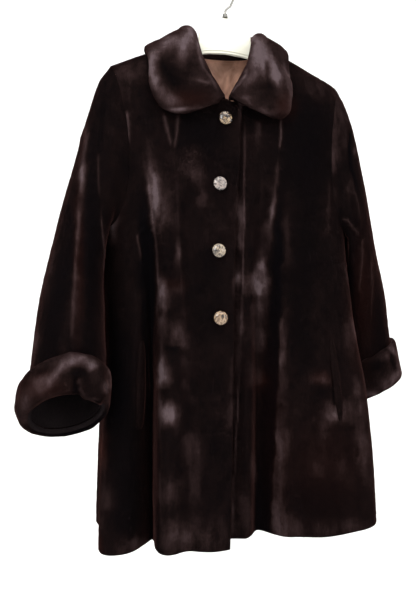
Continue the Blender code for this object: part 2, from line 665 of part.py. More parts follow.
def cuff(name, outer, normal, angle, shape, material):
    """The turned-back cuff: a rounded band outside the sleeve, rolled round its end. shape
    is its row of CUFFS. The angle is 0 over the arm."""
    deep, upper, lower, dip = shape
    depth = 1 - dip * np.clip(np.cos(angle), 0, 1)
    lengths = np.linalg.norm(np.diff(outer[::-1], axis=0), axis=-1).mean(axis=1)
    place = np.concatenate([[0], np.cumsum(lengths)])
    down = unit(outer[-1] - outer[-2])

    def on_sleeve(s, out):
        if s < 0:
            return outer[-1] - s * down + out * normal[-1]
        level = np.array([[np.interp(s * depth[j], place, outer[::-1, j, k]) for k in range(3)]
                          for j in range(outer.shape[1])])
        facing = np.array([[np.interp(s * depth[j], place, normal[::-1, j, k]) for k in range(3)]
                           for j in range(outer.shape[1])])
        return level + out * unit(facing)

    edge = upper * 0.45
    profile = (
        (deep - 0.002, CUFF_OFF),
        (deep * 0.5, CUFF_OFF),
        (-SEAM * 2, CUFF_OFF),
        (-SEAM * 2, -WALL),
        (-CUFF_LIP * 0.8, -WALL * 0.9),
        (-CUFF_LIP * 1.6, -WALL * 0.1),
        (-CUFF_LIP * 1.5, CUFF_OFF + lower * 0.55),
        (0.004, CUFF_OFF + lower),
        (deep * 0.5, CUFF_OFF + (upper + lower) * 0.56),
        (deep - edge * 0.6, CUFF_OFF + upper * 0.96),
        (deep + edge * 0.3, CUFF_OFF + upper * 0.50),
    )
    loops = [on_sleeve(s, out) for s, out in profile]
    mesh = bmesh.new()
    rings = [[mesh.verts.new(p) for p in loop] for loop in loops]
    for one, other in zip(rings, rings[1:] + rings[:1]):
        for j in range(len(one)):
            k = (j + 1) % len(one)
            mesh.faces.new((one[j], one[k], other[k], other[j]))
    finish_mesh(name, mesh, material)


# ---------------------------------------------------------------- collar
def neck_stations(front_r, front_l, back, stops, back_u):
    """The neckline from the right front round the back to the left front: outer and inner
    points, and the way into the neck opening."""
    first = LOWER_ROWS + NECK_FIRST_ROW
    outer, inner, place = [], [], []
    last = len(front_r[0]) - 1
    for row in range(first, last):
        outer.append(front_r[0][row, -1])
        inner.append(front_r[1][row, -1])
        place.append(-1 + 0.54 * (row - first) / (last - first))
    at = [j for j, u in enumerate(back_u) if stops[0] - 1e-6 <= u <= stops[1] + 1e-6]
    for n, j in enumerate(at):
        outer.append(back[0][-1, j])
        inner.append(back[1][-1, j])
        place.append(-0.46 + 0.92 * n / (len(at) - 1))
    for row in range(last - 1, first - 1, -1):
        outer.append(front_l[0][row, -1])
        inner.append(front_l[1][row, -1])
        place.append(1 - 0.54 * (row - first) / (last - first))
    outer, inner = np.array(outer), np.array(inner)
    along = np.gradient(outer, axis=0)
    into = unit(np.cross(along, outer - inner))
    middle = outer.mean(axis=0)
    into *= np.sign(np.sum(into * (middle - outer), axis=-1)).sum() / abs(
        np.sign(np.sum(into * (middle - outer), axis=-1)).sum())
    at = np.array([-t for t in COLLAR_PLACES[:0:-1]] + list(COLLAR_PLACES))
    spaced = [np.stack([np.interp(at, place, a[:, k]) for k in range(3)], axis=-1)
              for a in (outer, inner, into)]
    return spaced[0], spaced[1], unit(spaced[2]), at


def outside_body(points):
    """Above 0 outside the body's form, and 0 on it."""
    x, y, z = points[..., 0], points[..., 1], points[..., 2]
    deep = unit_curve(place_of(x, z))[1]
    depth = np.where(y < 0, section(z, "front"), section(z, "back")) * np.maximum(deep, 0.05)
    drop = np.minimum((shoulder_z(x) - z) / SHOULDER_ROUND, 1)
    return np.hypot(y / depth, 1 - drop) - 1


def clear_of_body(points, lift):
    """Moves points that would lie closer to the body's form than lift away from it."""
    moved = points.copy()
    step = 1e-4
    for _ in range(6):
        value = outside_body(moved)
        slope = np.stack([(outside_body(moved + step * d) - value) / step for d in np.eye(3)], axis=-1)
        size = np.maximum(np.linalg.norm(slope, axis=-1), 1.0)
        short = np.maximum(lift - value / size, 0)
        moved = moved + (short / size)[..., None] * slope
    return moved


def end_taper(t):
    """The collar thins towards its two front ends."""
    return 1 - (1 - COLLAR_TAPER) * step_between(0.80, 1.0, np.abs(t))


def collar_under(stations):
    """The collar's under side: from the neck seam up the stand, round the roll, down the fall."""
    outer, _, into, place = stations
    paths = []
    table = [(-row[0], *row[1:]) for row in COLLAR_RIGHT[:0:-1]] + list(COLLAR_LEFT)
    t_table = column(table, COLLAR_COLUMNS, "t")
    for o, m, t in zip(outer, into, place):
        value = [float(smooth(t_table, column(table, COLLAR_COLUMNS, n), t)) for n in COLLAR_COLUMNS[1:]]
        roll, edge = np.array(value[:3]), np.array(value[3:])
        radius = COLLAR_ROLL * end_taper(t)
        outward = edge - roll
        outward[2] = 0
        outward = outward / np.linalg.norm(outward)
        up = np.array([0.0, 0.0, 1.0])
        path = [o + 1.5 * SEAM * m]
        for k in range(TURN_STEPS + 1):
            turn = math.pi * (1 - k / TURN_STEPS)
            path.append(roll + radius * (math.cos(turn) * outward + math.sin(turn) * up))
        start = path[-1]
        fall = edge - start
        bend = start + 0.45 * fall + 0.10 * np.linalg.norm(fall) * (outward + up)
        for k in range(1, FALL_STEPS + 1):
            s = k / FALL_STEPS
            path.append((1 - s) ** 2 * start + 2 * s * (1 - s) * bend + s * s * edge)
        paths.append(path)
    paths = np.array(paths)
    paths[:, 2 + TURN_STEPS:] = clear_of_body(paths[:, 2 + TURN_STEPS:], COLLAR_LIFT)
    return paths


def collar(stations, material):
    under = collar_under(stations)
    across = np.gradient(under, axis=1)
    along = np.gradient(under, axis=0)
    normal = unit(np.cross(across, along))
    middle = under.shape[0] // 2
    top = 1 + TURN_STEPS // 2
    if normal[middle, top, 2] < 0:
        normal = -normal
    taper = np.ones(under.shape[:2]) * end_taper(stations[3])[:, None]
    taper[:, -2:] *= (0.85, 0.50)
    upper = under + COLLAR_THICK * taper[..., None] * normal
    upper[:, 0] = stations[1] + 1.5 * SEAM * stations[2]
    wall_object("collar", under, upper, material)


# ---------------------------------------------------------------- trims
def front_point(left, u, z):
    """Outer point and normal of a front at u and height z, below the underarm."""
    def at(uu, zz):
        c_side = 1.0 if left else -1.0
        x = edge_x(zz) - (OVERLAP if left else 0)
        c_end = float(place_of(x, zz))
        c = c_side + (c_end - c_side) * uu
        out = fold_depth(FOLDS_FRONT_LEFT if left else FOLDS_FRONT_RIGHT, uu, zz)
        base = body_form(np.array(c), np.array(zz), -1)
        return base + out * form_normal(np.array(c), np.array(zz), -1)

    point = at(u, z)
    across, down = at(u + 0.004, z) - at(u - 0.004, z), at(u, z + 0.002) - at(u, z - 0.002)
    normal = unit(np.cross(across, down))
    return point, normal * (-1 if normal[1] > 0 else 1)


def pocket_welt(name, left, u, cloth, material):
    """A rolled lip beside the pocket's slit, tapering to its ends, just off the front."""
    outer, inner = [], []
    for k in range(WELT_STEPS + 1):
        share = k / WELT_STEPS
        z = WELT_TOP_Z - WELT_LENGTH * share
        full = 0.35 + 0.65 * math.sin(math.pi * share) ** 0.5
        half_u = WELT_HALF_WIDTH * full / FRONT_WIDTH
        row_out, row_in = [], []
        for across, height in WELT_PROFILE:
            point, normal = front_point(left, u + across * half_u, z)
            near, _, _, _ = cloth.find_nearest(Vector(point))
            row_in.append(np.array(near) + normal * WELT_OFF)
            row_out.append(np.array(near) + normal * (WELT_OFF + WELT_THICK * full * height))
        outer.append(row_out)
        inner.append(row_in)
    wall_object(name, np.array(outer), np.array(inner), material)


def button(name, x, z, cloth, material):
    """A domed button with a rim and a short shank, standing on the over front."""
    seat, facing, _, _ = cloth.ray_cast(Vector((x, -1, z)), Vector((0, 1, 0)))
    radius, thick = BUTTON_RADIUS, BUTTON_THICK
    profile = (
        (0.0, thick), (radius * 0.35, thick * 0.97), (radius * 0.62, thick * 0.86),
        (radius * 0.82, thick * 0.66), (radius * 0.90, thick * 0.62), (radius, thick * 0.42),
        (radius * 0.97, thick * 0.12), (radius * 0.86, 0.0), (radius * 0.24, 0.0),
        (radius * 0.24, -BUTTON_STAND), (0.0, -BUTTON_STAND),
    )
    mesh = bmesh.new()
    line = [mesh.verts.new((r, 0, h)) for r, h in profile]
    edges = [mesh.edges.new(pair) for pair in zip(line, line[1:])]
    bmesh.ops.spin(mesh, geom=line + edges, cent=(0, 0, 0), axis=(0, 0, 1), dvec=(0, 0, 0),
                   angle=math.tau, steps=16, use_merge=True)
    bmesh.ops.remove_doubles(mesh, verts=mesh.verts, dist=1e-5)
    made = finish_mesh(name, mesh, material)
    made.rotation_mode = "QUATERNION"
    made.rotation_quaternion = facing.to_track_quat("Z", "Y")
    made.location = seat + facing * (BUTTON_STAND + SEAM)


# ---------------------------------------------------------------- hanger
def under_shoulder(x):
    """Height of the inside of the shoulder line, less the seat's gap."""
    return float(shoulder_z(x)) - (WALL + HANGER_SEAT) * math.hypot(1, SHOULDER_SLOPE)


def hanger(material):
    """The moulded body: a tall middle that thins into two sloping arms."""
    stations = [(-x, *rest) for x, *rest in HANGER_ARM[:0:-1]] + [tuple(r) for r in HANGER_ARM]
    mesh = bmesh.new()
    rings = []
    power = 2 / HANGER_SQUARENESS
    for x, top, height, thick in stations:
        top = under_shoulder(x) if top is None else top
        ring = []
        for k in range(HANGER_CORNERS):
            angle = math.tau * k / HANGER_CORNERS
            cos, sin = math.cos(angle), math.sin(angle)
            ring.append(mesh.verts.new((
                x,
                thick * math.copysign(abs(cos) ** power, cos),
                top - height / 2 + height / 2 * math.copysign(abs(sin) ** power, sin),
            )))
        rings.append(ring)
    for one, other in zip(rings, rings[1:]):
        for j in range(HANGER_CORNERS):
            k = (j + 1) % HANGER_CORNERS
            mesh.faces.new((one[j], one[k], other[k], other[j]))
    mesh.faces.new(rings[0])
    mesh.faces.new(rings[-1])
    return finish_mesh("hanger", mesh, material)


def hook_line():
    """The wire's centre line: up from the hanger, out to one side, and over to the tip."""
    centre_z = WIRE - HOOK_RADIUS
    foot = HANGER_ARM[0][1] + SEAM + FERRULE_HEIGHT - 0.001
    points = [(0, foot), (0, foot + 0.004), (0.002, foot + 0.010), (0.010, foot + 0.017)]
    for k in range(17):
        angle = math.radians(-35 + 235 * k / 16)
        points.append((HOOK_RADIUS * math.cos(angle), centre_z + HOOK_RADIUS * math.sin(angle)))
    return points


def hanger_hook(material):
    """A steel wire hook in its ferrule, one solid."""
    curve = bpy.data.curves.new("hook_wire", "CURVE")
    curve.dimensions = "3D"
    curve.bevel_depth = WIRE
    curve.bevel_resolution = 2
    curve.use_fill_caps = True
    line = curve.splines.new("POLY")
    points = hook_line()
    line.points.add(len(points) - 1)
    for point, (x, z) in zip(line.points, points):
        point.co = (x, 0, z, 1)
    wire = bpy.data.objects.new("hook_wire", curve)
    bpy.context.scene.collection.objects.link(wire)
    bpy.context.view_layer.update()
    mesh = bmesh.new()
    mesh.from_mesh(wire.evaluated_get(bpy.context.evaluated_depsgraph_get()).to_mesh())
    bmesh.ops.remove_doubles(mesh, verts=mesh.verts, dist=1e-6)
    bpy.data.objects.remove(wire)
    made = finish_mesh("hanger_hook", mesh, material)
    sleeve_mesh = bmesh.new()
    bmesh.ops.create_cone(sleeve_mesh, cap_ends=True, segments=16, radius1=FERRULE_RADIUS,
                          radius2=FERRULE_RADIUS * 0.8, depth=FERRULE_HEIGHT)
    ferrule = finish_mesh("hook_ferrule", sleeve_mesh, material)
    ferrule.location = (0, 0, HANGER_ARM[0][1] + SEAM + FERRULE_HEIGHT / 2)
    ferrule.hide_render = True
    ferrule.display_type = "WIRE"
    join = made.modifiers.new("ferrule", "BOOLEAN")
    join.operation = "UNION"
    join.object = ferrule


def main():
    for old in list(bpy.data.objects):
        bpy.data.objects.remove(old)
    fur, satin = make_material("sheared_fur", FUR), make_material("satin_lining", SATIN)
    cream, steel = make_material("hanger_cream", CREAM), make_material("hook_steel", STEEL)
    pearl = make_material("button_pearl", PEARL)

    right = front_panel(False, fur)
    left = front_panel(True, fur)
    back_u, stops, *back = back_panel(fur)
    back_lining(back[1], back[2], satin)

    for name, table, front, on_left in (
        ("right", SLEEVE_RIGHT, right, False),
        ("left", SLEEVE_LEFT, left, True),
    ):
        outer, normal, angle = sleeve("sleeve_" + name, table, front, back, on_left, fur)
        cuff("cuff_" + name, outer, normal, angle, CUFFS[name], fur)

    collar(neck_stations(right, left, back, stops, back_u), fur)
    for number, (x, z) in enumerate(BUTTONS, start=1):
        button(f"button_{number}", x, z, right[2], pearl)
    pocket_welt("pocket_welt_right", False, WELT_U_RIGHT, right[2], fur)
    pocket_welt("pocket_welt_left", True, WELT_U_LEFT, left[2], fur)
    hanger(cream)
    hanger_hook(steel)


main()
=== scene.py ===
"""The looks of a sheared fur swing coat that hangs on a moulded hanger.

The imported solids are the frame. Each cloth solid is replaced by a shell on the same
form, worked out from the same sizes at a finer step, with the creases, the soft pile
and the rounded edges that the solids leave out. Metres, +Z up; the coat faces -Y and
the wearer's left is +X.
"""
import itertools
import math

import bmesh
import bpy
import numpy as np
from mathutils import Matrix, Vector


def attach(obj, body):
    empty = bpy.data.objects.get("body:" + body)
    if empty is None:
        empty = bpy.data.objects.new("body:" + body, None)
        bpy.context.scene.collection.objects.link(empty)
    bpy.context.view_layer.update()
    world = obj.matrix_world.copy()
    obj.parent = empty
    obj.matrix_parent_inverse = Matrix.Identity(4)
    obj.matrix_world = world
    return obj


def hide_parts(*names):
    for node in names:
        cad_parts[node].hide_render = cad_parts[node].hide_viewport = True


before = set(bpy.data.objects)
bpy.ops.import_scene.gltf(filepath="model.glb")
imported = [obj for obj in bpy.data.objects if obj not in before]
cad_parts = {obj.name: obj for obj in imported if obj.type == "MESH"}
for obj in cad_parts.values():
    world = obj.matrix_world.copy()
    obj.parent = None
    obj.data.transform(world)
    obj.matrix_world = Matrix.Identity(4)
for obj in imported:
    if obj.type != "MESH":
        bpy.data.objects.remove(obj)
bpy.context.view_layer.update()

# ---------------------------------------------------------------- the coat's own sizes
WALL = 0.008              # pelt and sheared pile together
SEAM = 0.0003             # gap where two pieces are sewn together
SQUARENESS = 3.0          # exponent of the body's level sections: 2 is an ellipse
SECTION_ASPECT = 0.40     # their usual depth over their half width

HEM_Z = -0.975
UNDERARM_Z = -0.470
SHOULDER_CENTRE = 0.004   # middle of the shoulders, sideways from the hook
SHOULDER_HALF = 0.208
SHOULDER_TOP_Z = -0.0825  # where the two shoulder lines would meet
SHOULDER_SLOPE = 0.440    # fall of the shoulder line per metre sideways
SHOULDER_ROUND = 0.040    # height over which front and back curve over the shoulder
NECK_RIGHT_X = -0.084     # ends of the back neckline
NECK_LEFT_X = 0.078
NECK_LEVEL_HALF = 0.060
NECK_DIP = 0.008          # the back neckline falls this far between them

# Level sections of the body, outer surface: height, half width, depth of the front
# and of the back from the side seam, and the section's centre line.
SECTION_COLUMNS = ("z", "half_width", "front", "back", "centre_x")
SECTIONS = (
    (-0.060, 0.222, 0.030, 0.040, 0.0040),
    (-0.175, 0.221, 0.040, 0.046, 0.0040),
    (-0.250, 0.220, 0.054, 0.058, 0.0040),
    (-0.350, 0.220, 0.066, 0.070, 0.0040),
    (-0.470, 0.221, 0.076, 0.082, 0.0040),
    (-0.600, 0.2250, 0.086, 0.094, 0.0110),
    (-0.780, 0.2380, 0.098, 0.108, 0.0210),
    (-0.975, 0.2420, 0.108, 0.122, 0.0250),
)

# The over front's edge, height and x: it leans to the wearer's right as it falls.
FRONT_EDGE = ((-0.200, 0.016), (-0.250, 0.014), (-0.450, -0.001), (-0.975, -0.023))
OVERLAP = 0.062           # the under front reaches this far beneath the over front
UNDER_INSET_TOP = 0.0105  # the under front lies this far inside the over front, at the neck
UNDER_INSET_HEM = 0.044   # and at the hem
UNDER_START = (0.150, 0.235)  # this far below the hook it starts to go in, and is in
UNDER_GROWS = 0.300       # and from here down it goes in deeper
UNDER_ACROSS = (0.55, 0.78)  # shares of its width over which it goes in

# Panel rows above the underarm: the armhole edge's x, from the middle of the shoulders,
# and z, the centre edge's x on the right and the left front, and its z. A row with no
# centre x ends on the front edge, and the last row lies on the shoulder seam.
UPPER_ROWS = (
    (0.2210, -0.4700, None, None, -0.470),
    (0.2080, -0.4500, None, None, -0.425),
    (0.1930, -0.4220, None, None, -0.378),
    (0.1840, -0.3820, None, None, -0.330),
    (0.1815, -0.3320, None, None, -0.288),
    (0.1845, -0.2840, None, None, -0.250),
    (0.1910, -0.2430, -0.004, -0.028, -0.2310),
    (0.1965, -0.2150, -0.031, 0.008, -0.2270),
    (0.2003, -0.2005, -0.048, 0.031, -0.210),
    (0.2035, -0.1900, -0.064, 0.048, -0.186),
    (0.2060, -0.1828, -0.074, 0.061, -0.158),
    (0.2075, -0.1772, -0.081, 0.071, -0.136),
    (0.2080, -0.1740, -0.084, 0.078, None),
)
NECK_FIRST_ROW = 7        # the first upper row that ends on the neckline
LOWER_ROWS = 8            # intervals between the hem and the underarm

FOLD_START = 0.08         # share of a panel beside its side seam over which its folds fade
# Folds of a panel: the share u of its width that each lies on, its half width as a share,
# the heights where it starts and where it is full, and how far it stands out there.
FOLDS_FRONT_RIGHT = (
    (0.25, 0.110, -0.560, -0.975, 0.032),   # flute beside the sleeve
    (0.45, 0.052, -0.300, -0.920, -0.058),  # deep fold under the arm
    (0.60, 0.090, -0.180, -0.700, 0.014),   # flute under the collar
    (0.72, 0.070, -0.240, -0.600, -0.005),  # soft hollow beside it
    (0.90, 0.150, -0.300, -0.975, 0.012),   # front edge, standing out
)
FOLDS_FRONT_LEFT = (
    (0.16, 0.120, -0.420, -0.975, 0.014),   # flute at the side
    (0.40, 0.130, -0.300, -0.975, 0.006),   # broad flute over the pocket
    (0.56, 0.090, -0.500, -0.975, -0.018),  # hollow beside the deep fold
    (0.665, 0.050, -0.240, -0.900, -0.046),  # deep fold from the collar's tip
    (0.74, 0.060, -0.160, -0.600, 0.008),   # ridge beside it
)
FOLDS_BACK = (
    (0.110, 0.060, -0.520, -0.975, 0.022),
    (0.235, 0.034, -0.320, -0.930, -0.046),
    (0.340, 0.060, -0.240, -0.900, 0.016),
    (0.455, 0.036, -0.300, -0.940, -0.040),
    (0.575, 0.065, -0.230, -0.900, 0.018),
    (0.700, 0.034, -0.300, -0.930, -0.050),
    (0.805, 0.055, -0.320, -0.950, 0.014),
    (0.900, 0.055, -0.640, -0.975, 0.018),
)

# Sleeve rings: x and z over the arm, x and z under it, the ring's middle and half depth
# front to back, and the degrees by which its front is tipped up.
SLEEVE_RIGHT = (
    (0.2040, -0.1740, 0.2170, -0.4700, 0.002, 0.056, 0),
    (0.2110, -0.1840, 0.2195, -0.4690, 0.002, 0.059, 0),
    (0.2260, -0.2090, 0.2215, -0.4790, 0.002, 0.066, 0),
    (0.2430, -0.2650, 0.2205, -0.4950, 0.001, 0.075, 0),
    (0.2640, -0.3420, 0.2190, -0.5200, -0.004, 0.082, 3),
    (0.2850, -0.4220, 0.2175, -0.5540, -0.014, 0.085, 7),
    (0.3020, -0.4970, 0.2165, -0.5930, -0.030, 0.083, 12),
    (0.3170, -0.5650, 0.2175, -0.6320, -0.050, 0.078, 18),
    (0.3270, -0.6300, 0.2175, -0.6670, -0.074, 0.073, 25),
    (0.3330, -0.6910, 0.2185, -0.7020, -0.098, 0.068, 32),
    (0.3370, -0.7440, 0.2200, -0.7320, -0.119, 0.063, 38),
)
SLEEVE_LEFT = (
    (0.2120, -0.1740, 0.2250, -0.4700, 0.002, 0.056, 0),
    (0.2190, -0.1840, 0.2275, -0.4690, 0.003, 0.058, 0),
    (0.2330, -0.2090, 0.2300, -0.4790, 0.006, 0.064, 0),
    (0.2520, -0.2650, 0.2325, -0.4950, 0.011, 0.071, 0),
    (0.2720, -0.3380, 0.2350, -0.5180, 0.021, 0.075, 0),
    (0.2940, -0.4120, 0.2370, -0.5500, 0.037, 0.076, 0),
    (0.3190, -0.4830, 0.2380, -0.5860, 0.052, 0.074, 0),
    (0.3450, -0.5520, 0.2400, -0.6290, 0.066, 0.070, 2),
    (0.3640, -0.6180, 0.2440, -0.6790, 0.078, 0.066, 4),
    (0.3790, -0.6760, 0.2530, -0.7320, 0.090, 0.064, 6),
    (0.3890, -0.7260, 0.2630, -0.7860, 0.102, 0.063, 8),
)
LOOP_FADE = (0.0, 0.10, 0.25, 0.45, 0.65, 0.82, 0.93, 1.0, 1.0, 1.0, 1.0)

# Cuff: a turned-back band round the sleeve's end, as a profile over the sleeve. s is
# measured up from the sleeve's end, out is measured from the sleeve's outer side.
# The columns are its depth, its thickness along the upper edge and by the sleeve's end,
# and the share of its depth that is lost over the arm, negative where it's deeper there.
CUFFS = {
    "right": (0.058, 0.014, 0.014, 0.42),
    "left": (0.072, 0.009, 0.020, -0.06),
}
CUFF_OFF = 0.0010
CUFF_LIP = 0.0055         # the roll below the sleeve's end

# Collar: each place round the neck, from the middle of the back (0) to the front (1),
# with the point in the middle of the roll and the point on the outer edge.
COLLAR_RIGHT = (
    (0.00, -0.004, 0.060, -0.105, -0.015, 0.084, -0.192),
    (0.16, -0.038, 0.056, -0.105, -0.072, 0.082, -0.186),
    (0.32, -0.062, 0.038, -0.103, -0.118, 0.061, -0.166),
    (0.46, -0.074, 0.006, -0.107, -0.137, 0.014, -0.150),
    (0.58, -0.074, -0.022, -0.117, -0.142, -0.024, -0.176),
    (0.70, -0.072, -0.043, -0.150, -0.144, -0.044, -0.209),
    (0.80, -0.063, -0.051, -0.180, -0.138, -0.056, -0.240),
    (0.88, -0.049, -0.056, -0.205, -0.121, -0.063, -0.263),
    (0.94, -0.037, -0.059, -0.220, -0.090, -0.068, -0.268),
    (1.00, -0.0205, -0.062, -0.237, -0.031, -0.070, -0.2465),
)
COLLAR_LEFT = (
    (0.00, -0.004, 0.060, -0.105, -0.015, 0.084, -0.192),
    (0.16, 0.026, 0.054, -0.104, 0.038, 0.080, -0.184),
    (0.32, 0.050, 0.036, -0.101, 0.080, 0.056, -0.160),
    (0.46, 0.063, 0.006, -0.105, 0.098, 0.012, -0.138),
    (0.58, 0.058, -0.022, -0.115, 0.103, -0.024, -0.160),
    (0.70, 0.047, -0.043, -0.148, 0.106, -0.044, -0.193),
    (0.80, 0.036, -0.051, -0.178, 0.103, -0.056, -0.228),
    (0.88, 0.019, -0.056, -0.205, 0.093, -0.063, -0.255),
    (0.94, 0.006, -0.059, -0.220, 0.068, -0.068, -0.264),
    (1.00, -0.0065, -0.062, -0.236, 0.001, -0.071, -0.2425),
)
COLLAR_THICK = 0.009
COLLAR_TAPER = 0.65       # share of the thickness left at the two front ends
COLLAR_ROLL = 0.0045      # radius of the fold inside the collar
COLLAR_LIFT = 0.0031      # the fall lies this far off the coat

# ---------------------------------------------------------------- the camera
CAMERA_PLACE = (-0.29034, -1.01255, -0.585)
CAMERA_HEADING = 14.336   # degrees from +Y towards +X
LENS = 34.37
SENSOR = 36
PHOTO_WIDTH, PHOTO_HEIGHT = 416, 613

# ---------------------------------------------------------------- fineness of the shells
FRONT_COLUMNS = 150
BACK_COLUMNS = 200
LOWER_FINE = 120          # rows from the hem to the underarm
UPPER_FINE = 84           # rows from the underarm to the shoulder
SLEEVE_FINE = 150         # rings of a sleeve
ROUND_STEPS = 5           # rows or columns over the roll of a free edge
HEM_ROLL = 0.10           # how far up the hem's roll goes, in rows
EDGE_ROLL = 0.018         # how far across a front edge's roll goes, as a share of the panel
EDGE_GAP = 0.002          # and the least distance to the column before it
FOLD_DENSITY = 1.68       # how much closer the columns lie across a fold
WALL_STEPS = 17           # places looked at across a wall's thickness
FADE_ROWS = 4             # rows beside a seam over which the pile fades
EDGE_ROUND = 0.0045       # how far from a free edge the shell rounds off
EDGE_THIN = 0.22          # share of the thickness that is left at the very edge

UNDULATION = 0.0011       # slow unevenness of the pelts
UNDULATION_SIZE = 0.050
PILE_CLUMPS = 0.0003      # height of the clumps that the sheared pile makes
PILE_CLUMP_SIZE = 0.0065


# ---------------------------------------------------------------- small helpers
def moved(points, distance, directions):
    """Points moved by a distance each along their directions."""
    return points + distance[..., None] * directions


def smooth(knots, values, at):
    """Values between the knots of a table, with no kink at a knot."""
    order = np.argsort(knots)
    k, v = np.asarray(knots, float)[order], np.asarray(values, float)[order]
    slope = np.gradient(v, k)
    at = np.clip(at, k[0], k[-1])
    i = np.clip(np.searchsorted(k, at) - 1, 0, len(k) - 2)
    step = k[i + 1] - k[i]
    t = (at - k[i]) / step
    return (
        (2 * t**3 - 3 * t**2 + 1) * v[i]
        + (t**3 - 2 * t**2 + t) * step * slope[i]
        + (3 * t**2 - 2 * t**3) * v[i + 1]
        + (t**3 - t**2) * step * slope[i + 1]
    )


def step_between(start, end, at):
    """0 before start, 1 after end, and smooth between them."""
    t = np.clip((at - start) / (end - start), 0, 1)
    return t * t * (3 - 2 * t)


def signed_power(base, power):
    return np.sign(base) * np.abs(base) ** power


def unit(vectors):
    return vectors / np.maximum(np.linalg.norm(vectors, axis=-1, keepdims=True), 1e-12)


def between_rows(rows, at):
    """Rows of a table at fractional row numbers."""
    index = np.arange(len(rows))
    return np.stack([smooth(index, rows[:, k], at) for k in range(rows.shape[1])], axis=-1)


LATTICE_CELLS = 32
LATTICE = np.random.default_rng(7).random((LATTICE_CELLS,) * 3) * 2 - 1


def noise(points, size, shift=0.0):
    """Smooth noise from -1 to 1 in space. size is a cell's size, one number or three."""
    place = points / np.asarray(size) + shift
    cell = np.floor(place).astype(int)
    share = place - cell
    share = share * share * (3 - 2 * share)
    total = 0.0
    for corner in itertools.product((0, 1), repeat=3):
        weight = np.prod(np.where(corner, share, 1 - share), axis=-1)
        total = total + weight * LATTICE[tuple(np.moveaxis((cell + corner) % LATTICE_CELLS, -1, 0))]
    return total


def pile(points):
    """How far the pile stands off the smooth form."""
    slow = UNDULATION * noise(points, (UNDULATION_SIZE, UNDULATION_SIZE, 1.6 * UNDULATION_SIZE))
    clumps = noise(points, PILE_CLUMP_SIZE, 3.1) + 0.6 * noise(points, PILE_CLUMP_SIZE * 0.45, 8.7)
    return slow + PILE_CLUMPS * clumps


# ---------------------------------------------------------------- nap, painted highlight and shade, and creases
# Both are placed in the photograph's pixels, on whatever shows there.
# Patches where the nap lies towards the light, painted as highlight: middle, half size, sideways lean for
# each pixel down, strength (below 0 is painted shade) and, where it has one, the pelt seam it stops at.
PATCHES_BODY = (
    (152, 178, 7, 20, 0.12, 0.48), (160, 212, 11, 22, 0.05, 0.42), (154, 190, 3, 34, 0.14, 0.36),
    (162, 282, 5, 9, 0.2, 0.4), (163, 300, 6, 14, 0.05, 0.7), (163, 322, 4, 14, 0, 0.45),
    (179, 338, 9, 13, 0.15, 0.5, 347), (186, 372, 5, 26, 0.05, 0.16),
    (164, 374, 6, 16, 0.05, 0.74, 391), (168, 415, 9, 13, 0.1, 0.74), (191, 447, 9, 15, 0.08, 0.42),
    (196, 505, 8, 34, 0, 0.24), (171, 488, 11, 12, 0, 0.28), (180, 535, 18, 16, 0, 0.3),
    (215, 535, 13, 20, 0, 0.26), (178, 251, 3, 10, 0.05, 0.62), (178, 292, 6, 5, 0, 0.18),
    (197, 176, 9, 10, 0.3, 0.32), (202, 199, 7, 9, 0, 0.36), (208, 236, 8, 14, 0, 0.1),
    (119, 190, 4, 16, -0.05, 0.3), (115, 222, 5, 20, -0.14, 0.55), (106, 300, 4, 26, 0, 0.2),
    (105, 504, 8, 16, 0, 0.34), (103, 455, 5, 22, 0, 0.24), (138, 545, 22, 9, -0.3, 0.3),
    (239, 111, 3, 12, 0, 0.45), (240, 214, 4, 14, 0.05, 0.55), (240, 243, 3, 9, 0.05, 0.5),
    (237, 282, 4, 11, -0.1, 0.62), (239, 330, 4, 30, -0.05, 0.25), (233, 395, 4, 40, -0.08, 0.25),
    (258, 128, 3, 10, 0, 0.36), (263, 271, 7, 20, -0.05, 0.62, 297), (259, 286, 13, 14, 0, 0.85, 297),
    (262, 305, 9, 8, 0, 0.4), (261, 332, 8, 18, 0.05, 0.42), (256, 378, 9, 12, 0, 0.26, 388),
    (254, 470, 5, 18, 0.05, 0.26), (246, 505, 7, 20, 0, 0.22), (271, 214, 4, 22, -0.06, 0.42),
    (286, 242, 5, 26, 0, 0.24), (282, 342, 5, 34, -0.05, 0.42), (281, 440, 6, 60, -0.03, 0.36),
    (276, 520, 8, 30, 0, 0.32), (319, 379, 10, 6, 0, 0.34), (331, 415, 9, 13, 0, 0.52),
    (350, 411, 14, 12, 0, 0.46), (352, 334, 7, 16, 0.15, 0.36), (357, 390, 6, 12, 0.15, 0.26),
    (362, 452, 8, 22, 0.1, 0.4), (343, 470, 8, 12, 0, 0.2), (318, 470, 12, 12, 0, 0.18),
    (345, 528, 26, 8, 0, 0.3), (292, 528, 12, 9, 0, 0.34), (312, 88, 16, 14, 0.5, 0.24),
    (134, 70, 14, 8, -0.4, 0.26), (116, 92, 7, 20, -0.1, 0.16), (190, 150, 12, 10, 0, 0.12),
    (200, 132, 24, 18, 0, -0.22), (277, 288, 5, 70, -0.03, -0.6), (270, 400, 6, 70, -0.07, -0.8),
    (264, 500, 7, 60, -0.03, -0.8), (151, 420, 5, 150, 0.02, -0.9), (147, 262, 6, 50, 0.06, -0.6),
    (128, 500, 14, 50, 0, -0.2), (118, 390, 14, 60, 0, -0.34), (306, 140, 22, 60, 0, -0.26),
    (320, 500, 26, 20, 0, -0.22), (300, 330, 12, 60, 0, -0.08), (303, 250, 14, 40, 0, -0.14),
    (210, 260, 12, 30, 0, -0.12), (210, 320, 14, 20, 0, -0.1),
)
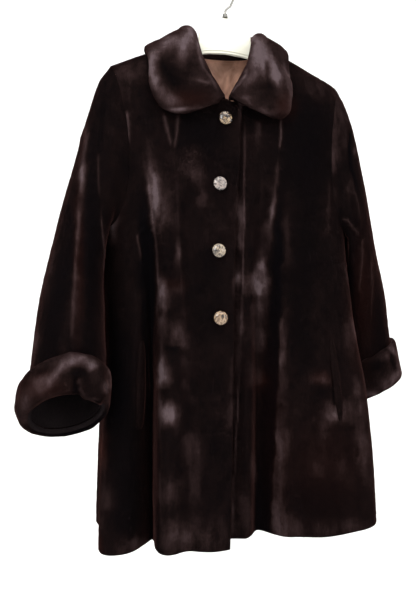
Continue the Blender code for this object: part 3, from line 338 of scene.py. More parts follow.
PATCHES_SLEEVES = (
    (84, 144, 3, 22, -0.1, 0.36), (84, 172, 4, 14, -0.1, 0.44), (80, 206, 3, 26, -0.1, 0.3),
    (76, 268, 3, 60, -0.03, 0.22), (66, 190, 4, 24, -0.28, 0.22), (52, 258, 4, 40, -0.24, 0.18),
    (34, 345, 5, 28, -0.12, 0.28), (334, 124, 5, 22, 0, 0.36), (332, 163, 6, 16, -0.1, 0.36),
    (329, 198, 5, 22, 0, 0.26), (356, 150, 2.5, 3, 0, 0.45), (351, 186, 6, 10, 0, 0.16),
    (342, 240, 8, 10, 0.2, 0.44), (332, 236, 6, 14, 0.2, 0.26), (338, 258, 8, 8, 0, 0.24),
    (345, 112, 12, 16, 0.6, 0.14), (92, 250, 8, 90, 0, -0.22), (58, 300, 9, 70, -0.2, -0.18),
    (350, 280, 6, 50, 0.15, -0.46), (336, 250, 7, 7, 0, 0.36), (346, 238, 3, 5, 0, -0.6),
    (346, 252, 3.5, 5, 0, -0.5), (354, 250, 5, 14, 0, -0.3), (376, 320, 10, 30, 0.1, -0.16),
)
PATCHES_COLLAR = (
    (186, 43, 8, 15, -0.2, 0.74), (193, 33, 4, 10, 0.1, 0.55), (168, 44, 10, 8, -0.5, 0.46),
    (154, 52, 6, 6, 0, 0.44), (152, 66, 5, 18, 0.1, 0.5), (158, 85, 7, 14, 0.4, 0.42),
    (170, 97, 10, 6, 0.4, 0.34), (178, 109, 14, 2.5, 0, 0.55), (205, 108, 12, 2.5, 0, 0.34),
    (205, 82, 8, 3, 0.6, 0.2), (200, 50, 3, 20, 0.1, 0.4), (260, 50, 9, 14, 0.2, 0.74),
    (252, 37, 5, 6, 0.4, 0.55), (275, 72, 5, 15, 0.25, 0.6), (287, 75, 4, 18, 0.25, 0.36),
    (263, 66, 5, 12, 0.2, 0.34), (252, 72, 6, 14, -0.4, 0.34), (291, 100, 3, 14, 0, 0.34),
    (246, 98, 5, 3, 0.3, 0.28), (270, 112, 14, 3, 0.2, 0.26), (173, 76, 10, 16, 0.35, -0.26),
    (196, 92, 16, 9, 0, -0.12), (268, 90, 14, 10, 0, -0.12),
)
PATCHES_CUFFS = (
    (70, 362, 9, 6, -0.5, 0.56), (56, 374, 5, 10, -0.6, 0.66), (82, 358, 9, 5, 0, 0.44),
    (92, 364, 6, 6, 0, 0.7), (44, 384, 9, 8, -0.4, 0.4), (60, 430, 26, 5, 0, -0.9),
    (88, 424, 12, 6, -0.5, -0.7), (33, 381, 6, 4, -0.5, 0.12), (51, 400, 7, 6, -0.6, 0.16),
    (24, 385, 7, 9, 0, -0.16), (40, 372, 9, 4, -0.6, -0.14), (56, 388, 8, 5, -0.5, -0.12),
    (88, 386, 7, 9, 0, -0.12), (24, 402, 6, 18, 0, 0.2), (110, 374, 3, 10, 0.2, 0.5),
    (107, 388, 4, 6, 0, 0.6), (92, 400, 9, 2.5, 0, 0.36), (108, 404, 5, 8, -0.5, 0.24),
    (393, 348, 2.5, 9, 0.3, 0.5), (400, 366, 3, 12, 0.3, 0.5), (396, 374, 5, 7, -0.6, 0.56),
    (386, 356, 4, 4, 0, 0.3), (376, 349, 6, 2, -0.6, 0.44), (388, 384, 6, 4, -0.4, 0.5),
    (372, 394, 6, 3, -0.3, 0.4), (80, 410, 34, 12, 0, -0.6), (77, 386, 1.8, 11, 0, -0.9),
    (80, 372, 9, 5, 0.3, -0.4), (377, 366, 9, 9, 0, -0.3), (373, 382, 6, 6, 0, -0.1),
)
# Painted reddish rim light, standing for light through the tips of the pile at the edges.
PAINTED_RIM_LIGHT_PATCHES = (
    (100, 450, 6, 16, 0, 0.8), (97, 545, 4, 14, 0, 0.5), (320, 378, 10, 7, 0, 0.3),
    (286, 106, 10, 12, 0, 0.4), (192, 98, 20, 9, 0, 0.34), (259, 382, 9, 9, 0, 0.35),
    (174, 286, 12, 8, 0, 0.2), (78, 260, 5, 80, 0, 0.26), (44, 388, 24, 14, 0, 0.3),
    (362, 300, 12, 60, 0, 0.3), (270, 430, 14, 90, 0, 0.14), (325, 470, 40, 50, 0, 0.16),
)

# Creases: the line that each follows, half its width in pixels, how far it stands out in
# metres (below 0 falls in) and how much painted highlight its crest gets (below 0 painted shade).
RIDGES_BODY = (
    (((163, 112), (167, 128), (172, 148)), 1.8, 0.0018, 0.50),
    (((178, 112), (177, 132), (174, 150)), 1.8, 0.0020, 0.46),
    (((174, 150), (178, 200), (178, 243), (183, 300), (187, 346)), 2.4, 0.0012, 0.10),
    (((126, 108), (128, 122), (127, 146)), 2.0, 0.0022, 0.52),
    (((119, 150), (114, 200), (110, 240)), 3.0, 0.0014, 0.10),
    (((136, 232), (139, 246), (142, 262)), 1.6, 0.0016, 0.50),
    (((142, 262), (146, 298), (148, 368), (150, 420)), 1.6, 0.0010, 0.30),
    (((149, 322), (148, 345), (150, 352)), 2.2, 0.0008, 0.26),
    (((147, 366), (148, 392), (149, 414), (148, 430)), 2.0, 0.0012, 0.52),
    (((149, 430), (152, 480), (157, 536)), 1.6, 0.0008, 0.36),
    (((143, 158), (147, 178), (150, 200), (153, 222), (157, 260), (159, 300)), 1.6, 0.0012, 0.40),
    (((160, 300), (161, 354), (160, 420), (160, 540)), 1.8, 0.0008, 0.20),
    (((281, 118), (281, 140), (279, 152)), 1.4, 0.0016, 0.62),
    (((279, 152), (276, 180), (273, 210), (269, 232)), 2.0, 0.0012, 0.30),
    (((330, 175), (328, 210), (328, 240)), 2.0, 0.0010, 0.18),
    (((279, 318), (280, 345), (280, 372)), 1.8, 0.0010, 0.34),
    (((278, 376), (276, 440), (273, 500), (272, 530)), 1.8, 0.0008, 0.26),
    (((332, 338), (333, 372), (334, 412)), 1.1, -0.0018, -0.55),
    (((343, 254), (351, 296), (358, 332), (363, 366), (367, 402)), 1.2, 0.0010, 0.34),
    (((244.6, 104), (244.8, 150), (244, 220), (243, 290), (240.5, 360)), 0.9, 0.0004, 0.46),
    (((240.5, 360), (237.5, 420), (234.5, 468), (232.5, 544)), 0.9, 0.0004, 0.52),
    (((227, 284), (243, 284)), 1.0, -0.0005, -0.10),
    (((160, 285), (186, 284), (214, 287)), 1.0, -0.0005, -0.10),
    (((160, 347), (190, 349)), 1.0, -0.0005, -0.12),
    (((160, 391), (182, 391)), 1.0, -0.0005, -0.12),
    (((160, 432), (205, 431), (238, 433)), 1.0, -0.0005, -0.10),
    (((247, 298), (273, 297)), 1.0, -0.0006, -0.20),
    (((247, 388), (270, 388)), 1.0, -0.0005, -0.12),
    (((285, 340), (330, 339)), 1.0, -0.0004, -0.06),
    (((300, 432), (336, 430), (368, 430)), 1.0, -0.0005, -0.10),
    (((247, 432), (266, 431)), 1.0, -0.0004, -0.06),
)
RIDGES_SLEEVES = (
    (((90, 122), (86, 142), (82, 170), (80, 200)), 2.6, 0.0022, 0.22),
    (((80, 200), (76, 249), (73, 298), (71, 352)), 2.0, 0.0020, 0.30),
    (((98, 150), (99, 180), (100, 200)), 1.3, 0.0008, 0.30),
    (((100, 200), (104, 249), (105, 298), (108, 361)), 1.2, 0.0010, 0.48),
    (((104, 100), (101, 130), (99, 154)), 2.4, -0.0016, -0.12),
    (((60, 230), (50, 280), (44, 330)), 4.0, 0.0016, 0.06),
    (((349, 128), (349, 150), (352, 172), (358, 196)), 1.6, -0.0024, -0.50),
    (((341, 110), (345, 130), (346, 160)), 2.2, 0.0014, 0.12),
    (((352, 176), (358, 204), (363, 232)), 1.6, 0.0012, 0.22),
    (((340, 218), (347, 220), (353, 227), (361, 237)), 1.5, 0.0026, 0.52),
    (((363, 232), (362, 262), (358, 298)), 1.5, 0.0014, 0.34),
    (((371, 249), (372, 290), (371, 326)), 1.4, 0.0014, 0.28),
    (((346, 236), (345, 250)), 2.0, -0.0040, -0.60),
    (((340, 232), (344, 240), (342, 252), (336, 262)), 2.4, 0.0024, 0.20),
)
RIDGES_COLLAR = (
    (((198, 32), (198, 54), (204, 68), (213, 82), (221, 96)), 1.4, 0.0006, 0.26),
    (((247, 62), (245, 75), (238, 85), (229, 95)), 1.2, 0.0006, 0.46),
    (((154, 52), (150, 62), (152, 80)), 1.6, 0.0006, 0.22),
    (((160, 56), (166, 72), (178, 88)), 2.6, -0.0014, -0.16),
    (((196, 80), (204, 82), (212, 84)), 1.8, 0.0010, 0.20),
    (((176, 44), (186, 60), (190, 78)), 4.0, -0.0012, -0.04),
    (((274, 60), (275, 74), (278, 90)), 2.2, 0.0016, 0.22),
    (((266, 58), (267, 76), (270, 92)), 2.4, -0.0014, -0.16),
    (((242, 98), (247, 100), (253, 106)), 1.6, 0.0012, 0.24),
    (((254, 66), (250, 78), (244, 90)), 3.0, 0.0010, 0.06),
)
RIDGES_CUFFS = (
    (((76, 376), (76, 386), (76, 396)), 1.6, -0.0050, -0.60),
    (((79, 378), (80, 390), (87, 399)), 1.5, 0.0020, 0.36),
    (((104, 384), (108, 390), (106, 396)), 2.2, -0.0030, -0.10),
    (((40, 380), (46, 390), (48, 402)), 3.0, -0.0016, -0.10),
    (((60, 364), (62, 374)), 3.0, 0.0012, 0.10),
    (((376, 392), (384, 386), (392, 382)), 2.2, -0.0022, -0.14),
    (((393, 352), (392, 362), (397, 372)), 2.2, -0.0022, -0.26),
    (((367, 354), (372, 351), (380, 347), (388, 341)), 1.2, 0.0008, 0.30),
)

MARK_STRENGTH = 0.80      # on all the patches' and creases' strengths
# Strength of the painted reddish rim light.
PAINTED_RIM_LIGHT_STRENGTH = 0.40
PATCH_FALL, PATCH_POWER = 0.9, 1.2  # how fast a patch fades from its middle
PATCH_MEETING = 0.6       # how much less a patch adds where others lie already
SEAM_BLUR = 1.2           # pixels above and below a pelt seam over which a patch ends
RIDGE_ENDS = 0.18         # share of a crease's length over which each of its ends fades
RIDGE_RAGGED = 0.3        # how uneven a crease is, where a patch's borders have 1
# Each part's patches and creases, with their painted highlight and shade, and its nap where nothing is
# marked.
MARKS = {
    "body": (PATCHES_BODY, RIDGES_BODY, 0.30),
    "sleeves": (PATCHES_SLEEVES, RIDGES_SLEEVES, 0.28),
    "collar": (PATCHES_COLLAR, RIDGES_COLLAR, 0.43),
    "cuffs": (PATCHES_CUFFS, RIDGES_CUFFS, 0.42),
}
FAR_SHIFT = (11, 8)       # the far side repeats the near one's marks, mirrored and moved by this


def seen_at(points):
    """Where the photograph shows points: pixels across and pixels down."""
    away = points - np.array(CAMERA_PLACE)
    heading = math.radians(CAMERA_HEADING)
    depth = away[..., 0] * math.sin(heading) + away[..., 1] * math.cos(heading)
    across = away[..., 0] * math.cos(heading) - away[..., 1] * math.sin(heading)
    pixels = LENS / SENSOR * PHOTO_HEIGHT / depth
    return PHOTO_WIDTH / 2 + pixels * across, PHOTO_HEIGHT / 2 - pixels * away[..., 2]


def near_side(points, normals):
    """1 where a surface faces the camera, 0 where it faces away."""
    to_camera = unit(np.array(CAMERA_PLACE) - points)
    return step_between(-0.12, 0.12, np.sum(normals * to_camera, axis=-1))


def on_both_sides(field, points, normals, ragged):
    """A field of the photograph's pixels on the near side, and its mirror image on the far one.
    ragged makes its borders uneven."""
    px, py = seen_at(points)
    px = px + ragged * (2.2 * noise(points, 0.024, 1.7) + 1.3 * noise(points, 0.009, 6.3))
    py = py + ragged * (3.0 * noise(points, 0.028, 4.9) + 1.6 * noise(points, 0.010, 2.9))
    near = near_side(points, normals)
    return near * field(px, py) + (1 - near) * field(PHOTO_WIDTH - px + FAR_SHIFT[0], py + FAR_SHIFT[1])


def patch_field(patches):
    def field(px, py):
        total = np.zeros_like(px)
        for x, y, half_across, half_down, lean, strength, *seam in patches:
            across = (px - x - lean * (py - y)) / half_across
            value = np.exp(-((across**2 + ((py - y) / half_down) ** 2) ** PATCH_POWER) * PATCH_FALL)
            if seam:
                value = value * step_between(-seam[0] - SEAM_BLUR, -seam[0] + SEAM_BLUR, -py)
            total = total + strength * value * (1 - PATCH_MEETING * np.abs(total))
        return total

    return field


def along_line(px, py, line):
    """Distance of each pixel from a line of points, and how far along it that is, 0 to 1."""
    line = np.array(line, float)
    lengths = np.hypot(*np.diff(line, axis=0).T)
    best, where, passed = np.full(np.shape(px), np.inf), np.zeros(np.shape(px)), 0.0
    for (x0, y0), (x1, y1), length in zip(line[:-1], line[1:], lengths):
        raw = ((px - x0) * (x1 - x0) + (py - y0) * (y1 - y0)) / length**2
        t = np.clip(raw, 0, 1)
        gap = np.hypot(px - x0 - t * (x1 - x0), py - y0 - t * (y1 - y0))
        closer = gap < best
        best = np.where(closer, gap, best)
        where = np.where(closer, passed + t * length, where)
        passed += length
    return best, where / passed


def ridge_field(ridges, want_painted_shine):
    """How far the creases stand out, in metres, or their painted highlight, below 0 painted shade."""
    def field(px, py):
        total = np.zeros_like(px)
        for line, half_width, height, painted_shine in ridges:
            gap, where = along_line(px, py, line)
            ends = step_between(0, RIDGE_ENDS, where) * step_between(0, RIDGE_ENDS, 1 - where)
            total = total + (painted_shine if want_painted_shine else height) * ends * np.exp(-((gap / half_width) ** 2))
        return total

    return field


def marks_of(points, normals, part):
    """The nap of a part's points from 0, painted shade, to 1, a painted highlight where the nap lies towards
    the light, and their painted reddish rim light.
    """
    patches, ridges, plain = MARKS[part]
    marked = MARK_STRENGTH * on_both_sides(patch_field(patches), points, normals, 1)
    painted_shine = MARK_STRENGTH * on_both_sides(ridge_field(ridges, True), points, normals, RIDGE_RAGGED)
    streaks = noise(points, (0.006, 0.006, 0.034), 5.3) + 0.6 * noise(points, (0.003, 0.003, 0.015), 2.3)
    clouds = noise(points, (0.035, 0.035, 0.05), 9.1)
    blots = noise(points, (0.014, 0.014, 0.020), 7.7) + 0.5 * noise(points, 0.007, 3.7)
    marked = marked * (1 + 0.18 * streaks + 0.25 * clouds + 0.30 * blots)
    # The plain nap and its random tone, with the painted highlight and shade of the patches and creases on
    # top.
    nap_and_painted_light = plain + 0.06 * clouds + 0.03 * streaks + 0.04 * blots + marked + painted_shine
    # The painted reddish rim light at the edges.
    painted_rim_light = PAINTED_RIM_LIGHT_STRENGTH * on_both_sides(patch_field(PAINTED_RIM_LIGHT_PATCHES), points, normals, 1)
    return {"nap_and_painted_light": np.clip(nap_and_painted_light, 0, 1), "painted_rim_light": np.clip(painted_rim_light, 0, 1)}


def uneven(points, normals, part):
    """How far the pile and the part's creases move its points out."""
    ridges = ridge_field(MARKS[part][1], False)
    return pile(points) + on_both_sides(ridges, points, normals, RIDGE_RAGGED)


# ---------------------------------------------------------------- the body's form
def section(z, name):
    """A measure of the body's level section at z."""
    table = np.array(SECTIONS)
    return smooth(table[:, 0], table[:, SECTION_COLUMNS.index(name)], z)


def unit_curve_table():
    """Half of a level section, one wide and one deep, against the share of its length."""
    angle = np.linspace(0, math.pi, 1441)
    radius = (np.abs(np.cos(angle)) ** SQUARENESS + np.sin(angle) ** SQUARENESS) ** (-1 / SQUARENESS)
    x, y = -radius * np.cos(angle), radius * np.sin(angle)
    length = np.concatenate([[0], np.cumsum(np.hypot(np.diff(x), SECTION_ASPECT * np.diff(y)))])
    return 2 * length / length[-1] - 1, x, y


ARC, ARC_X, ARC_Y = unit_curve_table()


def unit_curve(c):
    """c is -1 at the right side seam, 0 at the centre and 1 at the left side seam."""
    beyond = np.abs(c) > 1
    inside = np.where(beyond, np.sign(c) * 2 - c, c)
    x, y = np.interp(inside, ARC, ARC_X), np.interp(inside, ARC, ARC_Y)
    return x, np.where(beyond, -y, y)


def place_of(x, z):
    """The c of a point that lies x sideways, on the section at z."""
    share = (x - section(z, "centre_x")) / section(z, "half_width")
    return np.interp(share, ARC_X, ARC)


def shoulder_z(x):
    """Height of the shoulder line, level where the neck opening is."""
    return SHOULDER_TOP_Z - SHOULDER_SLOPE * np.maximum(np.abs(x - SHOULDER_CENTRE), NECK_LEVEL_HALF)


def x_of(c, z):
    """How far sideways the form lies at c and z."""
    return section(z, "centre_x") + section(z, "half_width") * unit_curve(c)[0]


def body_form(c, z, side):
    """Outer surface without folds. side is -1 on the front and 1 on the back."""
    x = x_of(c, z)
    drop = np.clip((shoulder_z(x) - z) / SHOULDER_ROUND, 0, 1)
    depth = section(z, "front" if side < 0 else "back")
    return np.stack([x, side * depth * unit_curve(c)[1] * np.sqrt(1 - (1 - drop) ** 2), z + 0 * x], axis=-1)


SMALL_STEP = 1e-4         # for slopes


def form_normal(c, z, side):
    """Outward unit normal of the body's form."""
    point = body_form(c, z, side)
    across = body_form(c + SMALL_STEP, z, side) - body_form(c - SMALL_STEP, z, side)
    along = body_form(c, z + SMALL_STEP, side) - body_form(c, z - SMALL_STEP, side)
    found = unit(np.cross(across, along)) * -side
    x = point[..., 0]
    on_seam = shoulder_z(x) - point[..., 2] < 2 * SMALL_STEP
    lean = np.sign(x - SHOULDER_CENTRE) * SHOULDER_SLOPE
    found[on_seam] = unit(np.stack([lean, 0 * x, 1 + 0 * x], axis=-1))[on_seam]
    return found


def fold_depth(folds, u, z):
    """How far the folds of a panel move its surface out."""
    total = 0.0
    for u_fold, half_width, start, full, depth in folds:
        across = np.exp(-(((u - u_fold) / half_width) ** 2))
        total = total + depth * step_between(-start, -full, -z) * across
    return total * step_between(0, FOLD_START, u)


def panel_walls(u, c, z, side, stand_out):
    """Outer points, inner points and normals of a panel, the inner ones a wall's thickness in."""
    base, normal = body_form(c, z, side), form_normal(c, z, side)
    length = np.linalg.norm(np.diff(base, axis=1), axis=-1)
    place = np.concatenate([np.zeros((len(base), 1)), np.cumsum(length, axis=1)], axis=1)
    outer_depth = stand_out(u + 0 * z, z)
    inner_depth = outer_depth - WALL
    for shift in np.linspace(-WALL, WALL, WALL_STEPS)[1:-1]:
        reached = np.array([np.interp(row + shift, row, u) for row in place])
        under = stand_out(reached, z) - math.sqrt(WALL**2 - shift**2)
        inner_depth = np.minimum(inner_depth, under)
    return moved(base, outer_depth, normal), moved(base, inner_depth, normal), normal


# ---------------------------------------------------------------- panels
COARSE_ROWS = LOWER_ROWS + len(UPPER_ROWS)
QUARTER_TURN = 1 - np.cos(np.linspace(0, math.pi / 2, ROUND_STEPS + 1))


def fine_rows():
    """Row numbers of the fine grid: close together over the hem's roll, even elsewhere."""
    roll = HEM_ROLL * QUARTER_TURN
    lower = np.linspace(roll[-1], LOWER_ROWS, LOWER_FINE)
    upper = np.linspace(LOWER_ROWS, COARSE_ROWS - 1, UPPER_FINE)
    return np.concatenate([roll[:-1], lower[:-1], upper])


ROW_AT = fine_rows()
FIRST_UPPER = int(np.searchsorted(ROW_AT, LOWER_ROWS - 1e-9))


def refine(rows):
    """A panel's table of edge places at the fine rows. The armhole starts with a corner."""
    lower, upper = rows[: LOWER_ROWS + 1], rows[LOWER_ROWS:]
    low = between_rows(lower, ROW_AT[:FIRST_UPPER])
    high = between_rows(upper, ROW_AT[FIRST_UPPER:] - LOWER_ROWS)
    return np.concatenate([low, high])


def edge_x(z):
    return smooth(*np.array(FRONT_EDGE).T, z)


def row_heights(count):
    """Heights of the rows from the hem to the underarm, closer at the hem."""
    share = np.linspace(0, 1, count + 1)[:-1]
    return HEM_Z + (UNDERARM_Z - HEM_Z) * (0.75 * share + 0.25 * share**2)


def front_rows(left):
    """(c, z) of the side and of the centre edge, for each row of a front."""
    sign = 1 if left else -1
    under = OVERLAP if left else 0
    rows = [(sign, z, place_of(edge_x(z) - under, z), z) for z in row_heights(LOWER_ROWS)]
    for arm_half, arm_z, right_x, left_x, centre_z in UPPER_ROWS:
        neck_x = left_x if left else right_x
        centre_z = shoulder_z(neck_x) if centre_z is None else centre_z
        x = edge_x(centre_z) - under if neck_x is None else neck_x
        arm_x = SHOULDER_CENTRE + sign * arm_half
        side_c = sign if arm_z == UNDERARM_Z else place_of(arm_x, arm_z)
        rows.append((side_c, arm_z, place_of(x, centre_z), centre_z))
    return refine(np.array(rows, float))


def upper_share():
    """0 up to the underarm, then up to 1 at the shoulder, for each fine row."""
    return np.clip((ROW_AT[:, None] - LOWER_ROWS) / (len(UPPER_ROWS) - 1), 0, 1)


FRONT_REACH, BACK_REACH = 2, 4


def edge_power(reach):
    """How fast the armhole's shape dies out across a panel, for each row."""
    share = upper_share()
    return np.where(share > 0, 1 + reach * (1 - share), 1 + reach * (ROW_AT[:, None] >= LOWER_ROWS))


def front_grid(left, u):
    """(c, z) for each row and each u of a front."""
    side_c, side_z, centre_c, centre_z = (front_rows(left)[:, k:k + 1] for k in range(4))
    sign = 1 if left else -1
    c = sign * (1 - u) + centre_c * u + (side_c - sign) * signed_power(1 - u, edge_power(FRONT_REACH))
    z_rule = side_z * (1 - u) + centre_z * u
    side_drop = shoulder_z(x_of(side_c, side_z)) - side_z
    centre_drop = shoulder_z(x_of(centre_c, centre_z)) - centre_z
    drop = side_drop * (1 - u) + centre_drop * u
    share = upper_share()
    z = z_rule
    for _ in range(4):
        z = (1 - share) * z_rule + share * (shoulder_z(x_of(c, z)) - drop)
    return c, z


def front_stand_out(left):
    """How far a front stands off the form: its folds, and the way beneath the over front."""
    def stand_out(u, z):
        if not left:
            return fold_depth(FOLDS_FRONT_RIGHT, u, z)
        growth = (UNDER_INSET_HEM - UNDER_INSET_TOP) * step_between(UNDER_GROWS, -HEM_Z, -z)
        inset = (UNDER_INSET_TOP + growth) * step_between(*UNDER_START, -z)
        return fold_depth(FOLDS_FRONT_LEFT, u, z) - inset * step_between(*UNDER_ACROSS, u)

    return stand_out


def back_top(x):
    """Height of the back's top edge: the shoulder seams, and the neckline between them."""
    share = (x - NECK_RIGHT_X) / (NECK_LEFT_X - NECK_RIGHT_X)
    level = shoulder_z(NECK_RIGHT_X) * (1 - share) + shoulder_z(NECK_LEFT_X) * share
    neckline = level - NECK_DIP * 4 * share * (1 - share)
    return np.where((share > 0) & (share < 1), neckline, shoulder_z(x))


def back_grid(u):
    """(c, z) for each row and each u of the back: u is 0 on its right side, 1 on its left."""
    ends = [(-1.0, 1.0, z) for z in row_heights(LOWER_ROWS)]
    for arm_half, arm_z, *_ in UPPER_ROWS:
        at = [float(place_of(SHOULDER_CENTRE + s * arm_half, arm_z)) for s in (-1, 1)]
        ends.append((-1.0, 1.0, arm_z) if arm_z == UNDERARM_Z else (*at, arm_z))
    arm_half, arm_z = (np.array([row[k] for row in UPPER_ROWS]) for k in (0, 1))
    arm_drop = shoulder_z(SHOULDER_CENTRE + arm_half) - arm_z
    rise = np.concatenate([np.zeros(LOWER_ROWS), 1 - arm_drop / arm_drop[0]])
    rise[-1] = 1
    ends = refine(np.column_stack([np.array(ends), rise]))
    rise = np.clip(ends[:, 3:4], 0, 1)
    rise[:FIRST_UPPER] = 0
    power = edge_power(BACK_REACH)
    c = 2 * u - 1 + (ends[:, 0:1] + 1) * signed_power(1 - u, power)
    c = c + (ends[:, 1:2] - 1) * signed_power(u, power)
    z_side = ends[:, 2:3] + 0 * u
    z = z_side
    for _ in range(4):
        x = x_of(c, z)
        low = shoulder_z(x) - UNDERARM_Z
        top = shoulder_z(x) - back_top(x)
        z = np.where(rise > 0, shoulder_z(x) - (low * (1 - rise) + top * rise), z_side)
    return c, z


def back_stand_out(u, z):
    return fold_depth(FOLDS_BACK, u, z) * step_between(0, FOLD_START, 1 - u)


def grid_normals(points, ring=False):
    """Unit normals of a grid of points, rows by columns."""
    if ring:
        across = np.roll(points, -1, axis=1) - np.roll(points, 1, axis=1)
    else:
        across = np.gradient(points, axis=1)
    along = np.gradient(points, axis=0)
    return unit(np.cross(across, along))


def facing(normals, like):
    """Normals turned to the side that like points to."""
    return normals * math.copysign(1, np.sum(normals * like, axis=-1).mean())


def edge_distance(points, axis, end):
    """Distance of each point from one edge of the grid, along it."""
    length = np.linalg.norm(np.diff(points, axis=axis), axis=-1)
    zero = np.zeros_like(np.take(length, [0], axis=axis))
    place = np.concatenate([zero, np.cumsum(length, axis=axis)], axis=axis)
    return place if end == 0 else np.take(place, [-1], axis=axis) - place


def round_off(outer, inner, distance):
    """Brings the two sides of a shell together over the last stretch before a free edge."""
    t = np.clip(distance / EDGE_ROUND, 0, 1)
    share = EDGE_THIN + (1 - EDGE_THIN) * np.sqrt(1 - (1 - t) ** 2)
    middle, half = (outer + inner) / 2, (outer - inner) / 2
    return moved(middle, share, half), moved(middle, -share, half)


# ---------------------------------------------------------------- meshes
def link_new(name, data, materials=()):
    """A new object in the scene."""
    made = bpy.data.objects.new(name, data)
    bpy.context.scene.collection.objects.link(made)
    for material in materials:
        data.materials.append(material)
    return made


def mesh_object(name, points, faces, materials, slots=None, marks=None):
    """A closed, smooth mesh. slots are the faces' materials, and marks the points' nap with its
    painted highlight and shade, and their painted reddish rim light."""
    data = bpy.data.meshes.new(name)
    data.from_pydata(points.reshape(-1, 3).tolist(), [], faces)
    made = link_new(name, data, materials)
    if slots is not None:
        data.polygons.foreach_set("material_index", slots.astype(np.int32))
    for mark, values in (marks or {}).items():
        values = values.reshape(-1).astype(np.float32)
        data.attributes.new(mark, "FLOAT", "POINT").data.foreach_set("value", values)
    face_out(data)
    data.shade_smooth()
    return made


INNER_MARKS = {"nap_and_painted_light": 0.12, "painted_rim_light": 0.0}  # of a shell's inner side
SHARP_ANGLE = 60          # degrees from which an edge isn't shaded smooth


def shell_object(name, outer, inner, materials, marks, ring=False, inner_slot=None):
    """A closed shell between two grids of points, as one mesh. inner_slot gives the faces of
    the inner side another of the materials, and marks are the outer side's nap with its painted highlight
    and shade, and its painted reddish rim light."""
    rows, columns = outer.shape[:2]
    count = rows * columns
    index = np.arange(count).reshape(rows, columns)
    j = np.arange(columns if ring else columns - 1)
    k = (j + 1) % columns
    quads = np.stack([index[:-1][:, j], index[:-1][:, k], index[1:][:, k], index[1:][:, j]], axis=-1)
    quads = quads.reshape(-1, 4)
    rims = [(index[0, k], index[0, j]), (index[-1, j], index[-1, k])]
    if not ring:
        rims += [(index[:-1, 0], index[1:, 0]), (index[1:, -1], index[:-1, -1])]
    rims = [np.stack([a, b, b + count, a + count], axis=-1) for a, b in rims]
    faces = np.concatenate([quads, quads[:, ::-1] + count, *rims])
    slots = np.zeros(len(faces), int)
    if inner_slot is not None:
        slots[len(quads): 2 * len(quads)] = inner_slot.reshape(-1)
    marks = {mark: np.append(values, np.full(count, INNER_MARKS[mark])) for mark, values in marks.items()}
    made = mesh_object(name, np.stack([outer, inner]), faces.tolist(), materials, slots, marks)
    made.data.set_sharp_from_angle(angle=math.radians(SHARP_ANGLE))
    return made


def face_out(data):
    """Turns a closed mesh's faces to point out."""
    mesh = bmesh.new()
    mesh.from_mesh(data)
    if mesh.calc_volume(signed=True) < 0:
        bmesh.ops.reverse_faces(mesh, faces=mesh.faces)
    mesh.to_mesh(data)
    mesh.free()


def panel_columns(folds, count, free_end):
    """Shares of a panel's width: closer together across the folds, and over a free edge's roll."""
    even = np.linspace(0, 1, 2001)
    weight = np.ones_like(even)
    for u_fold, half_width, _, _, depth in folds:
        across = np.exp(-(((even - u_fold) / (1.3 * half_width)) ** 2))
        weight += FOLD_DENSITY * abs(depth) / half_width * across
    place = np.concatenate([[0], np.cumsum((weight[1:] + weight[:-1]) / 2)])
    u = np.interp(np.linspace(0, place[-1], count), place, even)
    if not free_end:
        return u
    roll = EDGE_ROLL * QUARTER_TURN
    return np.concatenate([u[u < 1 - roll[-1] - EDGE_GAP], 1 - roll[::-1]])


def front_shell(left):
    folds = FOLDS_FRONT_LEFT if left else FOLDS_FRONT_RIGHT
    u = panel_columns(folds, FRONT_COLUMNS, True)
    c, z = front_grid(left, u)
    outer, inner, normal = panel_walls(u, c, z, -1, front_stand_out(left))
    settle_seams(outer, inner, -1, [0])
    return outer, inner, normal


def back_shell():
    u = panel_columns(FOLDS_BACK, BACK_COLUMNS, False)
    u = np.sort(np.concatenate([u, neck_stops()]))
    c, z = back_grid(u)
    outer, inner, normal = panel_walls(u, c, z, 1, back_stand_out)
    settle_seams(outer, inner, 1, [0, -1])
    return u, outer, inner, normal


def neck_stops():
    """Where the neckline ends on the back's top edge, as shares of its width."""
    neck = [float(place_of(x, shoulder_z(x))) for x in (NECK_RIGHT_X, NECK_LEFT_X)]
    ends = [float(place_of(SHOULDER_CENTRE + s * SHOULDER_HALF, UPPER_ROWS[-1][1])) for s in (-1, 1)]
    return [(n - ends[0]) / (ends[1] - ends[0]) for n in neck]


SEAM_LAP = 0.0001         # how far two pelts press into each other at a sewn seam
SEAM_REACH = 0.002        # the shoulder seam takes the top row's points this near its plane
LINING_STOP = 0.030       # the satin inside ends this far above the hem


def settle_seams(outer, inner, side, seam_columns):
    """Brings the side seams and the shoulder seam to the plane between front and back."""
    for sheet in (outer, inner):
        for j in seam_columns:
            sheet[:FIRST_UPPER + 1, j, 1] = -side * SEAM_LAP
        on_seam = np.abs(sheet[-1, :, 1]) < SEAM_REACH
        sheet[-1, on_seam, 1] = -side * SEAM_LAP


def seam_fade(shape, seams):
    """0 on the seams and 1 a few rows inside them, so that pieces still meet."""
    rows, columns = (np.clip(np.arange(n) / FADE_ROWS, 0, 1) for n in shape)
    ramps = {"side": columns, "far_side": columns[::-1], "top": rows[::-1, None]}
    fade = np.ones(shape)
    for seam in seams:
        fade = np.minimum(fade, ramps[seam])
    return fade


def dress_panel(node, outer, inner, normal, seams, free, materials):
    """Adds pile to a panel's outer side, rounds its free edges and makes the piece."""
    out_normal = facing(grid_normals(outer), normal)
    lift = uneven(outer, out_normal, "body") * seam_fade(outer.shape[:2], seams)
    raised = moved(outer, lift, out_normal)
    for axis, end in free:
        raised, inner = round_off(raised, inner, edge_distance(raised, axis, end))
    marks = marks_of(raised, out_normal, "body")
    lined = edge_distance(outer, 0, 0)[:-1, :-1] > LINING_STOP
    keep(shell_object(node + "_fur", raised, inner, materials, marks, inner_slot=lined), node)


def keep(piece, node):
    """The piece rides on the coat's one body, and stands for the node."""
    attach(piece, "root")
    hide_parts(node)


